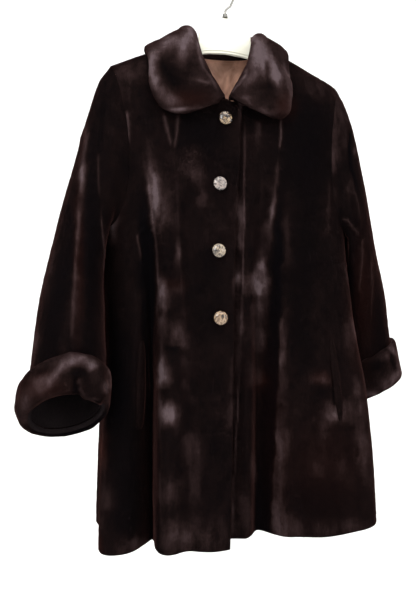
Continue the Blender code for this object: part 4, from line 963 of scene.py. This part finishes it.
# ---------------------------------------------------------------- sleeves and cuffs
def armhole_loop(front, back, left):
    """Outer and inner points of the armhole, over the shoulder, down the front, under the arm
    and up the back, and the way that leads off the body there."""
    first, last = FIRST_UPPER, len(front[0]) - 1
    down, up = range(last, first - 1, -1), range(first, last + 1)
    seam, beside = (-1, -2) if left else (0, 1)
    outer, inner, away = [], [], []
    for panel, rows, at, nearby in ((front, down, 0, 1), (back, up, seam, beside)):
        for row in rows:
            point = panel[0][row, at]
            outer.append(point)
            inner.append(panel[1][row, at])
            edge = panel[0][min(row + 1, last), at] - panel[0][max(row - 1, first), at]
            back_in = panel[0][row, nearby] - point
            away.append(-unit(back_in - edge * (back_in @ edge) / (edge @ edge)))
    outer, inner, away = (np.array(a) for a in (outer, inner, away))
    count = len(up)
    for a in (outer, inner, away):
        for one, other in ((0, 2 * count - 1), (count - 1, count)):
            a[one] = a[other] = (a[one] + a[other]) / 2
    kept = [i for i in range(2 * count - 1) if i != count]
    away[0], away[count - 1] = (1.0 if left else -1.0, 0.0, -0.5), (0.0, 0.0, 1.0)
    return outer[kept], inner[kept], unit(away)[kept]


def sleeve_surface(table, loop, sign):
    """Outer points of a sleeve: its rings by places round it, the first on the armhole."""
    over_z, under_z = loop[0, 2], loop[:, 2].min()
    angle = np.arccos(np.clip(2 * (loop[:, 2] - under_z) / (over_z - under_z) - 1, -1, 1))
    angle[np.arange(len(loop)) > np.argmin(loop[:, 2])] *= -1
    ring_at = np.linspace(0, len(table) - 1, SLEEVE_FINE)
    rings = []
    fine = between_rows(np.array(table, float), ring_at)
    for over_x, over_z, under_x, under_z, mid_y, half_depth, tip in fine:
        over = np.array([sign * over_x, mid_y, over_z])
        under = np.array([sign * under_x, mid_y, under_z])
        forward = np.array([0, -math.cos(math.radians(tip)), math.sin(math.radians(tip))])
        middle, reach = (over + under) / 2, (over - under) / 2
        rings.append(middle + np.cos(angle)[:, None] * reach + half_depth * np.sin(angle)[:, None] * forward)
    rings = np.array(rings)
    fade = 1 - np.clip(smooth(np.arange(len(LOOP_FADE)), LOOP_FADE, ring_at), 0, 1)[:, None, None]
    return rings + fade * (loop - rings[0]), ring_at, angle


def ring_normals(points):
    """Outward normals of a tube: rings by places round it."""
    return facing(grid_normals(points, ring=True), points - points.mean(axis=1, keepdims=True))


WALL_TURN = 1.5           # rings over which the wall turns from the body's way to the sleeve's
RING_FADE = 0.3           # part of the first ring's length over which the pile fades


def sleeve_shell(table, front, back, left):
    loop_outer, loop_inner, away = armhole_loop(front, back, left)
    outer, ring_at, angle = sleeve_surface(table, loop_outer + SEAM * away, 1 if left else -1)
    normal = ring_normals(outer)
    from_body = unit(loop_inner - loop_outer)
    turn = step_between(0, WALL_TURN, ring_at)[:, None, None]
    inner = outer + WALL * unit(from_body * (1 - turn) - normal * turn)
    inner[0] = loop_inner + SEAM * away
    return outer, inner, normal, ring_at, angle


def closed_curve(points, steps):
    """A smooth closed curve through a ring of points."""
    p0, p1, p2, p3 = (np.roll(points, s, axis=0) for s in (1, 0, -1, -2))
    found = []
    for k in range(steps):
        t = k / steps
        found.append(0.5 * (2 * p1 + (p2 - p0) * t + (2 * p0 - 5 * p1 + 4 * p2 - p3) * t**2
                            + (3 * p1 - p0 - 3 * p2 + p3) * t**3))
    return np.stack(found, axis=1).reshape(-1, points.shape[1])


CUFF_STEPS = 6            # points on each stretch of the cuff's section
LIP_ROWS = int(4.7 * CUFF_STEPS)  # rows of the cuff's section that lie on its inner side
CUFF_THIN = 0.50          # share of the cuff's thickness that is lost under the arm
CUFF_DENTS = 0.0016       # how uneven the cuffs are
CUFF_DENT_SIZE = 0.022


def cuff_profile(deep, upper, lower):
    """The cuff's section: how far up the sleeve and how far out, a closed loop."""
    edge = upper * 0.45
    return np.array((
        (deep - 0.002, CUFF_OFF),
        (deep * 0.5, CUFF_OFF),
        (-SEAM * 2, CUFF_OFF),
        (-SEAM * 2, -WALL),
        (-CUFF_LIP * 0.8, -WALL * 0.9),
        (-CUFF_LIP * 1.6, -WALL * 0.1),
        (-CUFF_LIP * 1.5, CUFF_OFF + lower * 0.55),
        (0.004, CUFF_OFF + lower),
        (deep * 0.5, CUFF_OFF + (upper + lower) * 0.51),
        (deep - edge * 0.6, CUFF_OFF + upper * 0.96),
        (deep + edge * 0.3, CUFF_OFF + upper * 0.50),
    ))


def cuff_shell(outer, normal, angle, shape):
    """Rings of the turned-back cuff, each a closed loop round its section. shape is its row
    of CUFFS. The angle is 0 over the arm."""
    deep, upper, lower, dip = shape
    outward, facing_out = outer[::-1], normal[::-1].copy()
    facing_out[0] = facing_out[1]
    lengths = np.linalg.norm(np.diff(outward, axis=0), axis=-1).mean(axis=1)
    place = np.concatenate([[0], np.cumsum(lengths)])
    down = unit(outer[-1] - outer[-4])
    columns = np.arange(outer.shape[1])
    depth = 1 - dip * np.clip(np.cos(angle), 0, 1)
    thin = 1 - CUFF_THIN * np.clip(-np.cos(angle), 0, 1)[:, None]
    loops = []
    for s, out in closed_curve(cuff_profile(deep, upper, lower), CUFF_STEPS):
        out = out * thin if out > CUFF_OFF else out
        if s < 0:
            loops.append(outer[-1] - s * down + out * normal[-2])
            continue
        at = s * depth
        i = np.clip(np.searchsorted(place, at, side="right") - 1, 0, len(place) - 2)
        t = ((at - place[i]) / (place[i + 1] - place[i]))[:, None]
        face = unit(facing_out[i + 1, columns] * t + facing_out[i, columns] * (1 - t))
        loops.append(outward[i, columns] * (1 - t) + outward[i + 1, columns] * t + out * face)
    return np.array(loops)


# The flap beside the right cuff's slit, in pixels: it starts to hang lower between the first
# two places across and ends between the last two, and likewise down.
FLAP_ACROSS = (80, 86, 99, 105)
FLAP_DOWN = (384, 397, 404, 416)
FLAP_DROP = 0.008


def drop_flap(loops, normals):
    """The right cuff with the flap beside its slit hanging lower than the rest."""
    share = near_side(loops, normals)
    for at, (start, full, last, end) in zip(seen_at(loops), (FLAP_ACROSS, FLAP_DOWN)):
        share = share * step_between(start, full, at) * (1 - step_between(last, end, at))
    return moved(loops, FLAP_DROP * share, np.array([0.0, 0.0, -1.0]))


def torus_object(name, loops, materials, marks):
    """A cuff's mesh, which closes on itself both along its loops and across them. Its inner
    side has the second of the materials, the painted shade."""
    rows, columns = loops.shape[:2]
    index = np.arange(rows * columns).reshape(rows, columns)
    after = np.roll(index, -1, axis=0)
    faces = np.stack([index, np.roll(index, -1, axis=1), np.roll(after, -1, axis=1), after], axis=-1)
    slots = np.repeat(np.arange(rows) < LIP_ROWS, columns)
    return mesh_object(name, loops, faces.reshape(-1, 4).tolist(), materials, slots, marks)


def torus_normals(loops):
    across = np.roll(loops, -1, axis=1) - np.roll(loops, 1, axis=1)
    along = np.roll(loops, -1, axis=0) - np.roll(loops, 1, axis=0)
    return unit(facing(np.cross(across, along), loops - loops.mean(axis=0)))


# ---------------------------------------------------------------- collar
COLLAR_ALONG = 190        # stations round the neck
STAND_FINE = 4            # points up the stand
FALL_FINE = 30            # points down the fall
FALL_BEND, FALL_SWELL = 0.45, 0.10  # where the fall bends, and how far, as shares of its length
NECK_FRONT = 0.54         # share of each half of the neckline that lies on the front
TURN_FINE = 12            # steps round the roll
COLLAR_PLUMP = 0.0030     # the pile stands this much higher in the middle of the fall
COLLAR_SWELL = 0.030      # how far from the collar's edge it's at its highest
COLLAR_PILE = 6           # points from the neck seam over which the pile fades
CLEARING_ROUNDS = 6
COLLAR_EDGE = 0.0085      # how far from its edge the collar rounds off
COLLAR_EDGE_THIN = 0.16   # share of the thickness that is left there
COLLAR_MIDDLE = 0.38      # share of the thickness at which the edge lies


def neck_stations(front_r, front_l, back_u, back):
    """The neckline from the right front round the back to the left front: outer and inner
    points, and the way into the neck opening."""
    first = int(np.searchsorted(ROW_AT, LOWER_ROWS + NECK_FIRST_ROW))
    last = len(ROW_AT) - 1
    share = (ROW_AT[first:last] - ROW_AT[first]) / (ROW_AT[last] - ROW_AT[first])
    stops = neck_stops()
    at = np.flatnonzero((back_u >= stops[0] - 1e-6) & (back_u <= stops[1] + 1e-6))
    along_back = (back_u[at] - stops[0]) / (stops[1] - stops[0])
    front = 1 - NECK_FRONT * share
    place = np.concatenate([-front, (1 - NECK_FRONT) * (2 * along_back - 1), front[::-1]])
    outer, inner = (
        np.concatenate([front_r[k][first:last, -1], back[k][-1, at], front_l[k][first:last, -1][::-1]])
        for k in (0, 1)
    )
    into = unit(np.cross(np.gradient(outer, axis=0), outer - inner))
    into = into * math.copysign(1, np.sum(into * (outer.mean(axis=0) - outer), axis=-1).sum())
    where = np.linspace(-1, 1, COLLAR_ALONG)
    outer, inner, into = (
        np.stack([np.interp(where, place, line[:, k]) for k in range(3)], axis=-1)
        for line in (outer, inner, into)
    )
    return outer, inner, unit(into), where


def outside_body(points):
    """Above 0 outside the body's form, and 0 on it."""
    x, y, z = points[..., 0], points[..., 1], points[..., 2]
    deep = unit_curve(place_of(x, z))[1]
    depth = np.where(y < 0, section(z, "front"), section(z, "back")) * np.maximum(deep, 0.05)
    drop = np.minimum((shoulder_z(x) - z) / SHOULDER_ROUND, 1)
    return np.hypot(y / depth, 1 - drop) - 1


def clear_of_body(points, lift):
    """Moves points that would lie closer to the body's form than lift away from it."""
    for _ in range(CLEARING_ROUNDS):
        value = outside_body(points)
        ahead = [outside_body(points + SMALL_STEP * d) for d in np.eye(3)]
        slope = (np.stack(ahead, axis=-1) - value[..., None]) / SMALL_STEP
        size = np.maximum(np.linalg.norm(slope, axis=-1), 1.0)
        points = moved(points, np.maximum(lift - value / size, 0) / size, slope)
    return points


def end_taper(t):
    """The collar thins towards its two front ends."""
    return 1 - (1 - COLLAR_TAPER) * step_between(0.80, 1.0, np.abs(t))


def collar_under(stations):
    """The collar's under side: from the neck seam up the stand, round the roll, down the fall."""
    outer, _, into, place = stations
    table = np.array([(-row[0], *row[1:]) for row in COLLAR_RIGHT[:0:-1]] + list(COLLAR_LEFT))
    up = np.array([0.0, 0.0, 1.0])
    paths = []
    for o, m, t in zip(outer, into, place):
        value = np.array([float(smooth(table[:, 0], table[:, k], t)) for k in range(1, 7)])
        roll, edge = value[:3], value[3:]
        radius = COLLAR_ROLL * end_taper(t)
        outward = unit((edge - roll) * (1, 1, 0))
        start = o + 1.5 * SEAM * m
        turns = []
        for k in range(TURN_FINE + 1):
            turn = math.pi * (1 - k / TURN_FINE)
            turns.append(roll + radius * (math.cos(turn) * outward + math.sin(turn) * up))
        stand = [start + (turns[0] - start) * k / STAND_FINE for k in range(STAND_FINE)]
        fall = edge - turns[-1]
        bend = turns[-1] + FALL_BEND * fall + FALL_SWELL * np.linalg.norm(fall) * (outward + up)
        falls = []
        for k in range(1, FALL_FINE + 1):
            s = k / FALL_FINE
            falls.append((1 - s) ** 2 * turns[-1] + 2 * s * (1 - s) * bend + s * s * edge)
        paths.append(stand + turns + falls)
    paths = np.array(paths)
    fall_from = STAND_FINE + TURN_FINE + 1
    paths[:, fall_from:] = clear_of_body(paths[:, fall_from:], COLLAR_LIFT)
    return paths


def collar_shell(stations):
    under = collar_under(stations)
    normal = grid_normals(under)
    middle, top = under.shape[0] // 2, STAND_FINE + TURN_FINE // 2
    if normal[middle, top, 2] < 0:
        normal = -normal
    edge = edge_distance(under, 1, 1)
    ends = np.minimum(edge_distance(under, 0, 0), edge_distance(under, 0, 1))
    border = np.minimum(edge, ends)
    plump = COLLAR_PLUMP * step_between(0, COLLAR_SWELL, border)
    upper = moved(under, COLLAR_THICK * end_taper(stations[3])[:, None] + plump, normal)
    seam = step_between(0, STAND_FINE, np.arange(under.shape[1]))[None, :, None]
    at_seam = stations[1] + 1.5 * SEAM * stations[2]
    upper = upper * seam + at_seam[:, None] * (1 - seam)
    return under, upper, normal, border


# ---------------------------------------------------------------- materials
def new_material(name, colour, roughness, **more):
    """A principled material; more sets inputs by their names, with _ for a space."""
    material = bpy.data.materials.new(name)
    material.use_nodes = True
    shader = material.node_tree.nodes["Principled BSDF"]
    for key, value in {"Base_Color": (*colour, 1), "Roughness": roughness, **more}.items():
        shader.inputs[key.replace("_", " ")].default_value = value
    return material, material.node_tree, shader


def add_node(tree, kind, **values):
    node = tree.nodes.new(kind)
    for key, value in values.items():
        if key in node.inputs:
            node.inputs[key].default_value = value
        else:
            setattr(node, key, value)
    return node


def noise_from(tree, scale, detail, stretch=(1, 1, 1), roughness=0.5, distortion=0.0, shift=(0, 0, 0)):
    """Noise in the coat's own metres, stretched along its axes."""
    place = tree.nodes.new("ShaderNodeTexCoord")
    mapping = add_node(tree, "ShaderNodeMapping", Scale=stretch, Location=shift)
    texture = add_node(tree, "ShaderNodeTexNoise", Scale=scale, Detail=detail, Roughness=roughness,
                       Distortion=distortion)
    tree.links.new(place.outputs["Object"], mapping.inputs["Vector"])
    tree.links.new(mapping.outputs["Vector"], texture.inputs["Vector"])
    return texture.outputs["Fac"]


def ramp_to(tree, source, stops, target):
    """Sends a source through a ramp of colours into an input."""
    ramp = tree.nodes.new("ShaderNodeValToRGB")
    elements = ramp.color_ramp.elements
    while len(elements) < len(stops):
        elements.new(0.5)
    for element, (at, colour) in zip(elements, stops):
        element.position = at
        element.color = (*colour, 1)
    tree.links.new(source, ramp.inputs["Fac"])
    tree.links.new(ramp.outputs["Color"], target)


def bump_to(tree, height, strength, distance, target):
    """Sends a height through a bump into an input for a normal."""
    bump = add_node(tree, "ShaderNodeBump", Strength=strength, Distance=distance)
    tree.links.new(height, bump.inputs["Height"])
    tree.links.new(bump.outputs["Normal"], target)
    return bump


def weigh(tree, source, weight, rest):
    """source times weight, plus rest, which is a number or an output."""
    node = add_node(tree, "ShaderNodeMath", operation="MULTIPLY_ADD")
    tree.links.new(source, node.inputs[0])
    node.inputs[1].default_value = weight
    if isinstance(rest, float):
        node.inputs[2].default_value = rest
    else:
        tree.links.new(rest, node.inputs[2])
    return node.outputs[0]


NOISE_SHARE = 0.30        # weight of each of the fur's two noises
NOISE_CENTRE = 0.30       # what they add on average, taken off again
PILE_STRETCH = (1, 1, 0.40)


def fur_material(plain_nap=None):
    """Dense sheared pile, with light painted into its colour: black for painted shade, brown-black
    where it is plain, greyish mauve for a painted highlight where the nap lies towards the light,
    and reddish for the painted rim light. plain_nap is for a piece without marks."""
    material, tree, shader = new_material(
        "sheared_fur", (0.02, 0.01, 0.008), 0.65, Specular_IOR_Level=0.0, Sheen_Weight=0.16,
        Sheen_Roughness=0.24, Sheen_Tint=(0.36, 0.15, 0.13, 1))
    nap_and_painted_light, painted_rim_light = (add_node(tree, "ShaderNodeAttribute", attribute_name=name).outputs["Fac"]
                 for name in ("nap_and_painted_light", "painted_rim_light"))
    grain = noise_from(tree, 420, 4, PILE_STRETCH, 0.62)
    tufts = noise_from(tree, 120, 4, (0.6, 0.6, 0.85), 0.62, 0.4)
    noises = weigh(tree, tufts, NOISE_SHARE, weigh(tree, grain, NOISE_SHARE, -NOISE_CENTRE))
    level = weigh(tree, noises, 1, nap_and_painted_light if plain_nap is None else plain_nap)
    tint = add_node(tree, "ShaderNodeMix", data_type="RGBA", blend_type="MIX")
    # From black painted shade at 0 through the plain brown-black to a greyish mauve painted highlight at 1.
    ramp_to(tree, level, (
        (0.00, (0.0017, 0.0014, 0.0017)),
        (0.22, (0.0026, 0.0018, 0.0019)),
        (0.36, (0.0050, 0.0029, 0.0028)),
        (0.55, (0.0135, 0.0078, 0.0076)),
        (0.78, (0.0320, 0.0205, 0.0208)),
        (1.00, (0.0700, 0.0505, 0.0540)),
    ), tint.inputs[6])
    # Colour of the painted reddish rim light, mixed in where its attribute says.
    tint.inputs[7].default_value = (0.030, 0.0070, 0.0040, 1)
    tree.links.new(painted_rim_light, tint.inputs["Factor"])
    tree.links.new(tint.outputs[2], shader.inputs["Base Color"])
    fine = bump_to(tree, noise_from(tree, 900, 3, (1, 1, 0.42), 0.7), 0.50, 0.0008, shader.inputs["Normal"])
    bump_to(tree, noise_from(tree, 170, 4, (1, 1, 0.6), 0.6), 0.45, 0.0020, fine.inputs["Normal"])
    return material


def shade_material():
    """Painted shade: a darker copy of the fur, without sheen, deep inside the sleeves and the cuffs' mouths.
    """
    material, tree, shader = new_material(
        "fur_inside_painted_shade", (0.002, 0.0015, 0.0017), 0.9, Specular_IOR_Level=0.0)
    grain = noise_from(tree, 420, 4, PILE_STRETCH, 0.62)
    stops = ((0.3, (0.0045, 0.0036, 0.0040)), (0.7, (0.0120, 0.0088, 0.0090)))
    ramp_to(tree, grain, stops, shader.inputs["Base Color"])
    bump_to(tree, grain, 0.5, 0.0008, shader.inputs["Normal"])
    return material


def satin_material():
    material, tree, shader = new_material(
        "satin", (0.20, 0.10, 0.07), 0.42, Specular_IOR_Level=0.20, Sheen_Weight=0.08, Sheen_Roughness=0.3)
    stops = ((0.34, (0.290, 0.150, 0.102)), (0.56, (0.600, 0.340, 0.245)))
    ramp_to(tree, noise_from(tree, 26, 3, (1, 1, 0.7), 0.5, 0.8), stops, shader.inputs["Base Color"])
    place = tree.nodes.new("ShaderNodeTexCoord")
    weave = add_node(tree, "ShaderNodeTexWave", wave_type="BANDS", bands_direction="DIAGONAL",
                     Scale=620, Distortion=0.4)
    tree.links.new(place.outputs["Object"], weave.inputs["Vector"])
    bump_to(tree, weave.outputs["Fac"], 0.12, 0.0003, shader.inputs["Normal"])
    return material


def cream_material():
    material, tree, shader = new_material("hanger_cream", (0.84, 0.82, 0.70), 0.40)
    stops = ((0.3, (0.80, 0.78, 0.66)), (0.7, (0.84, 0.825, 0.71)))
    ramp_to(tree, noise_from(tree, 14, 2), stops, shader.inputs["Base Color"])
    bump_to(tree, noise_from(tree, 420, 2), 0.06, 0.0004, shader.inputs["Normal"])
    return material


def steel_material():
    material, tree, shader = new_material("hook_steel", (0.20, 0.195, 0.18), 0.26, Metallic=1.0)
    stops = ((0.35, (0.17, 0.17, 0.17)), (0.7, (0.33, 0.33, 0.33)))
    ramp_to(tree, noise_from(tree, 300, 3, (1, 1, 0.15)), stops, shader.inputs["Roughness"])
    return material


def pearl_material(name, dark, light, gold, shift):
    """Marbled pearl: dark veins and gold flecks in a pale ground."""
    material, tree, shader = new_material(name, light, 0.18, Coat_Weight=0.35, Coat_Roughness=0.10)
    veins = noise_from(tree, 105, 4, (1, 1, 1), 0.62, 1.0, (shift, shift * 0.7, shift * 1.3))
    stops = ((0.36, dark), (0.46, light), (0.55, gold), (0.64, dark))
    ramp_to(tree, veins, stops, shader.inputs["Base Color"])
    return material


TRIM_NAP = 0.34           # nap of the pocket lips
BUTTON_SHIFT = 1.7        # how far each button's marbling is shifted from the last one's
# Each button's marbling: its dark veins, its pale ground and its gold flecks.
BUTTON_COLOURS = (
    ((0.006, 0.004, 0.003), (0.040, 0.027, 0.021), (0.330, 0.225, 0.125)),
    ((0.045, 0.038, 0.037), (0.140, 0.121, 0.112), (0.310, 0.250, 0.222)),
    ((0.018, 0.013, 0.010), (0.130, 0.102, 0.078), (0.340, 0.268, 0.190)),
    ((0.016, 0.009, 0.005), (0.115, 0.070, 0.040), (0.330, 0.225, 0.140)),
)


def build_sleeve(name, table, front, back, fur, shade):
    """A sleeve and its cuff."""
    on_left = name == "left"
    outer, inner, normal, ring_at, angle = sleeve_shell(table, front, back, on_left)
    lift = uneven(outer, normal, "sleeves") * np.clip(ring_at / RING_FADE, 0, 1)[:, None]
    raised = moved(outer, lift, normal)
    # The sleeve's inner side takes the second material, the painted shade.
    inside = np.ones((len(raised) - 1, raised.shape[1]), int)
    marks = marks_of(raised, normal, "sleeves")
    piece = shell_object(f"sleeve_{name}_fur", raised, inner, [fur, shade], marks, True, inside)
    keep(piece, "sleeve_" + name)
    loops = cuff_shell(outer, normal, angle, CUFFS[name])
    out = torus_normals(loops)
    loops = moved(loops, uneven(loops, out, "cuffs") + CUFF_DENTS * noise(loops, CUFF_DENT_SIZE, 4.1), out)
    loops = loops if on_left else drop_flap(loops, out)
    piece = torus_object(f"cuff_{name}_fur", loops, [fur, shade], marks_of(loops, out, "cuffs"))
    keep(piece, "cuff_" + name)


def build_collar(stations, fur):
    under, upper, normal, border = collar_shell(stations)
    lift = uneven(upper, normal, "collar") * step_between(0, COLLAR_PILE, np.arange(under.shape[1]))
    upper = moved(upper, lift, normal)
    upper, under = round_collar(upper, under, border)
    marks = marks_of(upper, normal, "collar")
    keep(shell_object("collar_fur", upper, under, [fur], marks), "collar")


def round_collar(upper, under, border):
    """Rounds the collar's outer edge and ends; its under side stays where it lies."""
    t = np.clip(border / COLLAR_EDGE, 0, 1)
    share = COLLAR_EDGE_THIN + (1 - COLLAR_EDGE_THIN) * np.sqrt(1 - (1 - t) ** 2)
    middle = under + COLLAR_MIDDLE * (upper - under)
    return moved(middle, share, upper - middle), moved(middle, share, under - middle)


def build_coat():
    fur, satin, shade = fur_material(), satin_material(), shade_material()
    right, left = front_shell(False), front_shell(True)
    back_u, *back = back_shell()
    free = [(0, 0), (1, 1)]
    dress_panel("front_right", *right, ("side", "top"), free, [fur, satin])
    dress_panel("front_left", *left, ("side", "top"), free, [fur, satin])
    dress_panel("back", *back, ("side", "far_side", "top"), free[:1], [fur, satin])
    build_sleeve("right", SLEEVE_RIGHT, right, back, fur, shade)
    build_sleeve("left", SLEEVE_LEFT, left, back, fur, shade)
    build_collar(neck_stations(right, left, back_u, back), fur)


# The moulded double bead along the lower edge of the hanger's middle, as the edge runs.
BEAD_HALF = ((0.048, -0.1385), (0.039, -0.1355), (0.030, -0.1340), (0.015, -0.1325))
BEAD_LINE = (*((-x, z) for x, z in BEAD_HALF), (0.0, -0.1320), *BEAD_HALF[::-1])
BEAD_STEPS, BEAD_TURNS = 48, 10  # points along a bead and round it
# Each bead's height above the edge, its radius and its y.
BEADS = ((0.0016, 0.0013, -0.0024), (0.0058, 0.0009, -0.0040))


def build_beads(material):
    for number, (rise, radius, y) in enumerate(BEADS, 1):
        line = between_rows(np.array(BEAD_LINE), np.linspace(0, len(BEAD_LINE) - 1, BEAD_STEPS))
        points = np.stack([line[:, 0], 0 * line[:, 0] + y, line[:, 1] + rise], axis=-1)
        forward = np.array((0.0, 1.0, 0.0))
        across = unit(np.cross(unit(np.gradient(points, axis=0)), forward))
        size = radius * np.minimum(1, 0.2 + 3 * np.sin(np.linspace(0, math.pi, len(points))))
        turns = np.linspace(0, math.tau, BEAD_TURNS, endpoint=False)
        rings = [moved(points, size, math.cos(a) * across + math.sin(a) * forward) for a in turns]
        bead = tube_object(f"hanger_bead_{number}", np.stack(rings, axis=1), material)
        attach(bead, "root")


def tube_object(name, rings, material):
    """A solid rod through rings of points, closed at both ends."""
    rows, columns = rings.shape[:2]
    index = np.arange(rows * columns).reshape(rows, columns)
    after = np.roll(index, -1, axis=1)
    faces = np.stack([index[:-1], after[:-1], after[1:], index[1:]], axis=-1).reshape(-1, 4).tolist()
    ends = [index[0].tolist()[::-1], index[-1].tolist()]
    return mesh_object(name, rings, faces + ends, [material])


def paint_node(name, material):
    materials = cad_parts[name].data.materials
    materials.clear()
    materials.append(material)


# ---------------------------------------------------------------- stage
FLOOR_Z = -1.28
FLOOR_RADIUS = 2.4
STAGE_BEND = 1.0          # radius of the bend between the floor and the wall
STAGE_TOP = 2.6


def build_stage():
    """A pale floor that runs up into a pale wall all round."""
    mesh = bmesh.new()
    profile = [(0.0, FLOOR_Z), (FLOOR_RADIUS, FLOOR_Z)]
    for angle in np.linspace(0, math.pi / 2, 13)[1:].tolist():
        rise = FLOOR_Z + STAGE_BEND * (1 - math.cos(angle))
        profile.append((FLOOR_RADIUS + STAGE_BEND * math.sin(angle), rise))
    profile.append((FLOOR_RADIUS + STAGE_BEND, STAGE_TOP))
    line = [mesh.verts.new((r, 0, z)) for r, z in profile]
    edges = [mesh.edges.new(pair) for pair in zip(line, line[1:])]
    bmesh.ops.spin(mesh, geom=line + edges, cent=(0, 0, 0), axis=(0, 0, 1), dvec=(0, 0, 0),
                   angle=math.tau, steps=72, use_merge=True)
    bmesh.ops.remove_doubles(mesh, verts=mesh.verts, dist=1e-5)
    bmesh.ops.recalc_face_normals(mesh, faces=mesh.faces)
    data = bpy.data.meshes.new("stage")
    mesh.to_mesh(data)
    mesh.free()
    data.shade_smooth()
    link_new("stage", data, [new_material("stage_paper", (0.90, 0.90, 0.895), 0.9)[0]])


def area_light(name, place, target, size, power):
    light = bpy.data.lights.new(name, "AREA")
    light.size, light.energy = size, power
    lamp = link_new(name, light)
    lamp.location = place
    lamp.rotation_mode = "QUATERNION"
    lamp.rotation_quaternion = (Vector(target) - Vector(place)).to_track_quat("-Z", "Y")


def build_lights():
    world = bpy.data.worlds.new("studio")
    bpy.context.scene.world = world
    world.use_nodes = True
    background = world.node_tree.nodes["Background"]
    background.inputs["Color"].default_value = (1, 1, 1, 1)
    background.inputs["Strength"].default_value = 1.0
    bpy.context.scene.view_settings.view_transform = "Standard"
    area_light("key", (-1.7, -1.9, 1.2), (0, 0, -0.45), 1.3, 52)
    area_light("fill", (1.9, -1.8, 0.4), (0, 0, -0.5), 1.6, 12)
    area_light("floor_light", (0.2, -0.6, 2.2), (0, 0.4, FLOOR_Z), 2.4, 60)


def build_camera():
    data = bpy.data.cameras.new("camera")
    data.lens = LENS
    data.sensor_width = SENSOR
    data.sensor_fit = "AUTO"
    camera = link_new("camera", data)
    camera.location = CAMERA_PLACE
    camera.rotation_euler = (math.pi / 2, 0, -math.radians(CAMERA_HEADING))
    bpy.context.scene.camera = camera


build_camera()
build_stage()
build_lights()
build_coat()
cream = cream_material()
paint_node("hanger", cream)
build_beads(cream)
paint_node("hanger_hook", steel_material())
paint_node("back_lining", satin_material())
for number, colours in enumerate(BUTTON_COLOURS, 1):
    paint_node(f"button_{number}", pearl_material(f"pearl_{number}", *colours, number * BUTTON_SHIFT))
fur_trim = fur_material(TRIM_NAP)
for side in ("right", "left"):
    paint_node("pocket_welt_" + side, fur_trim)
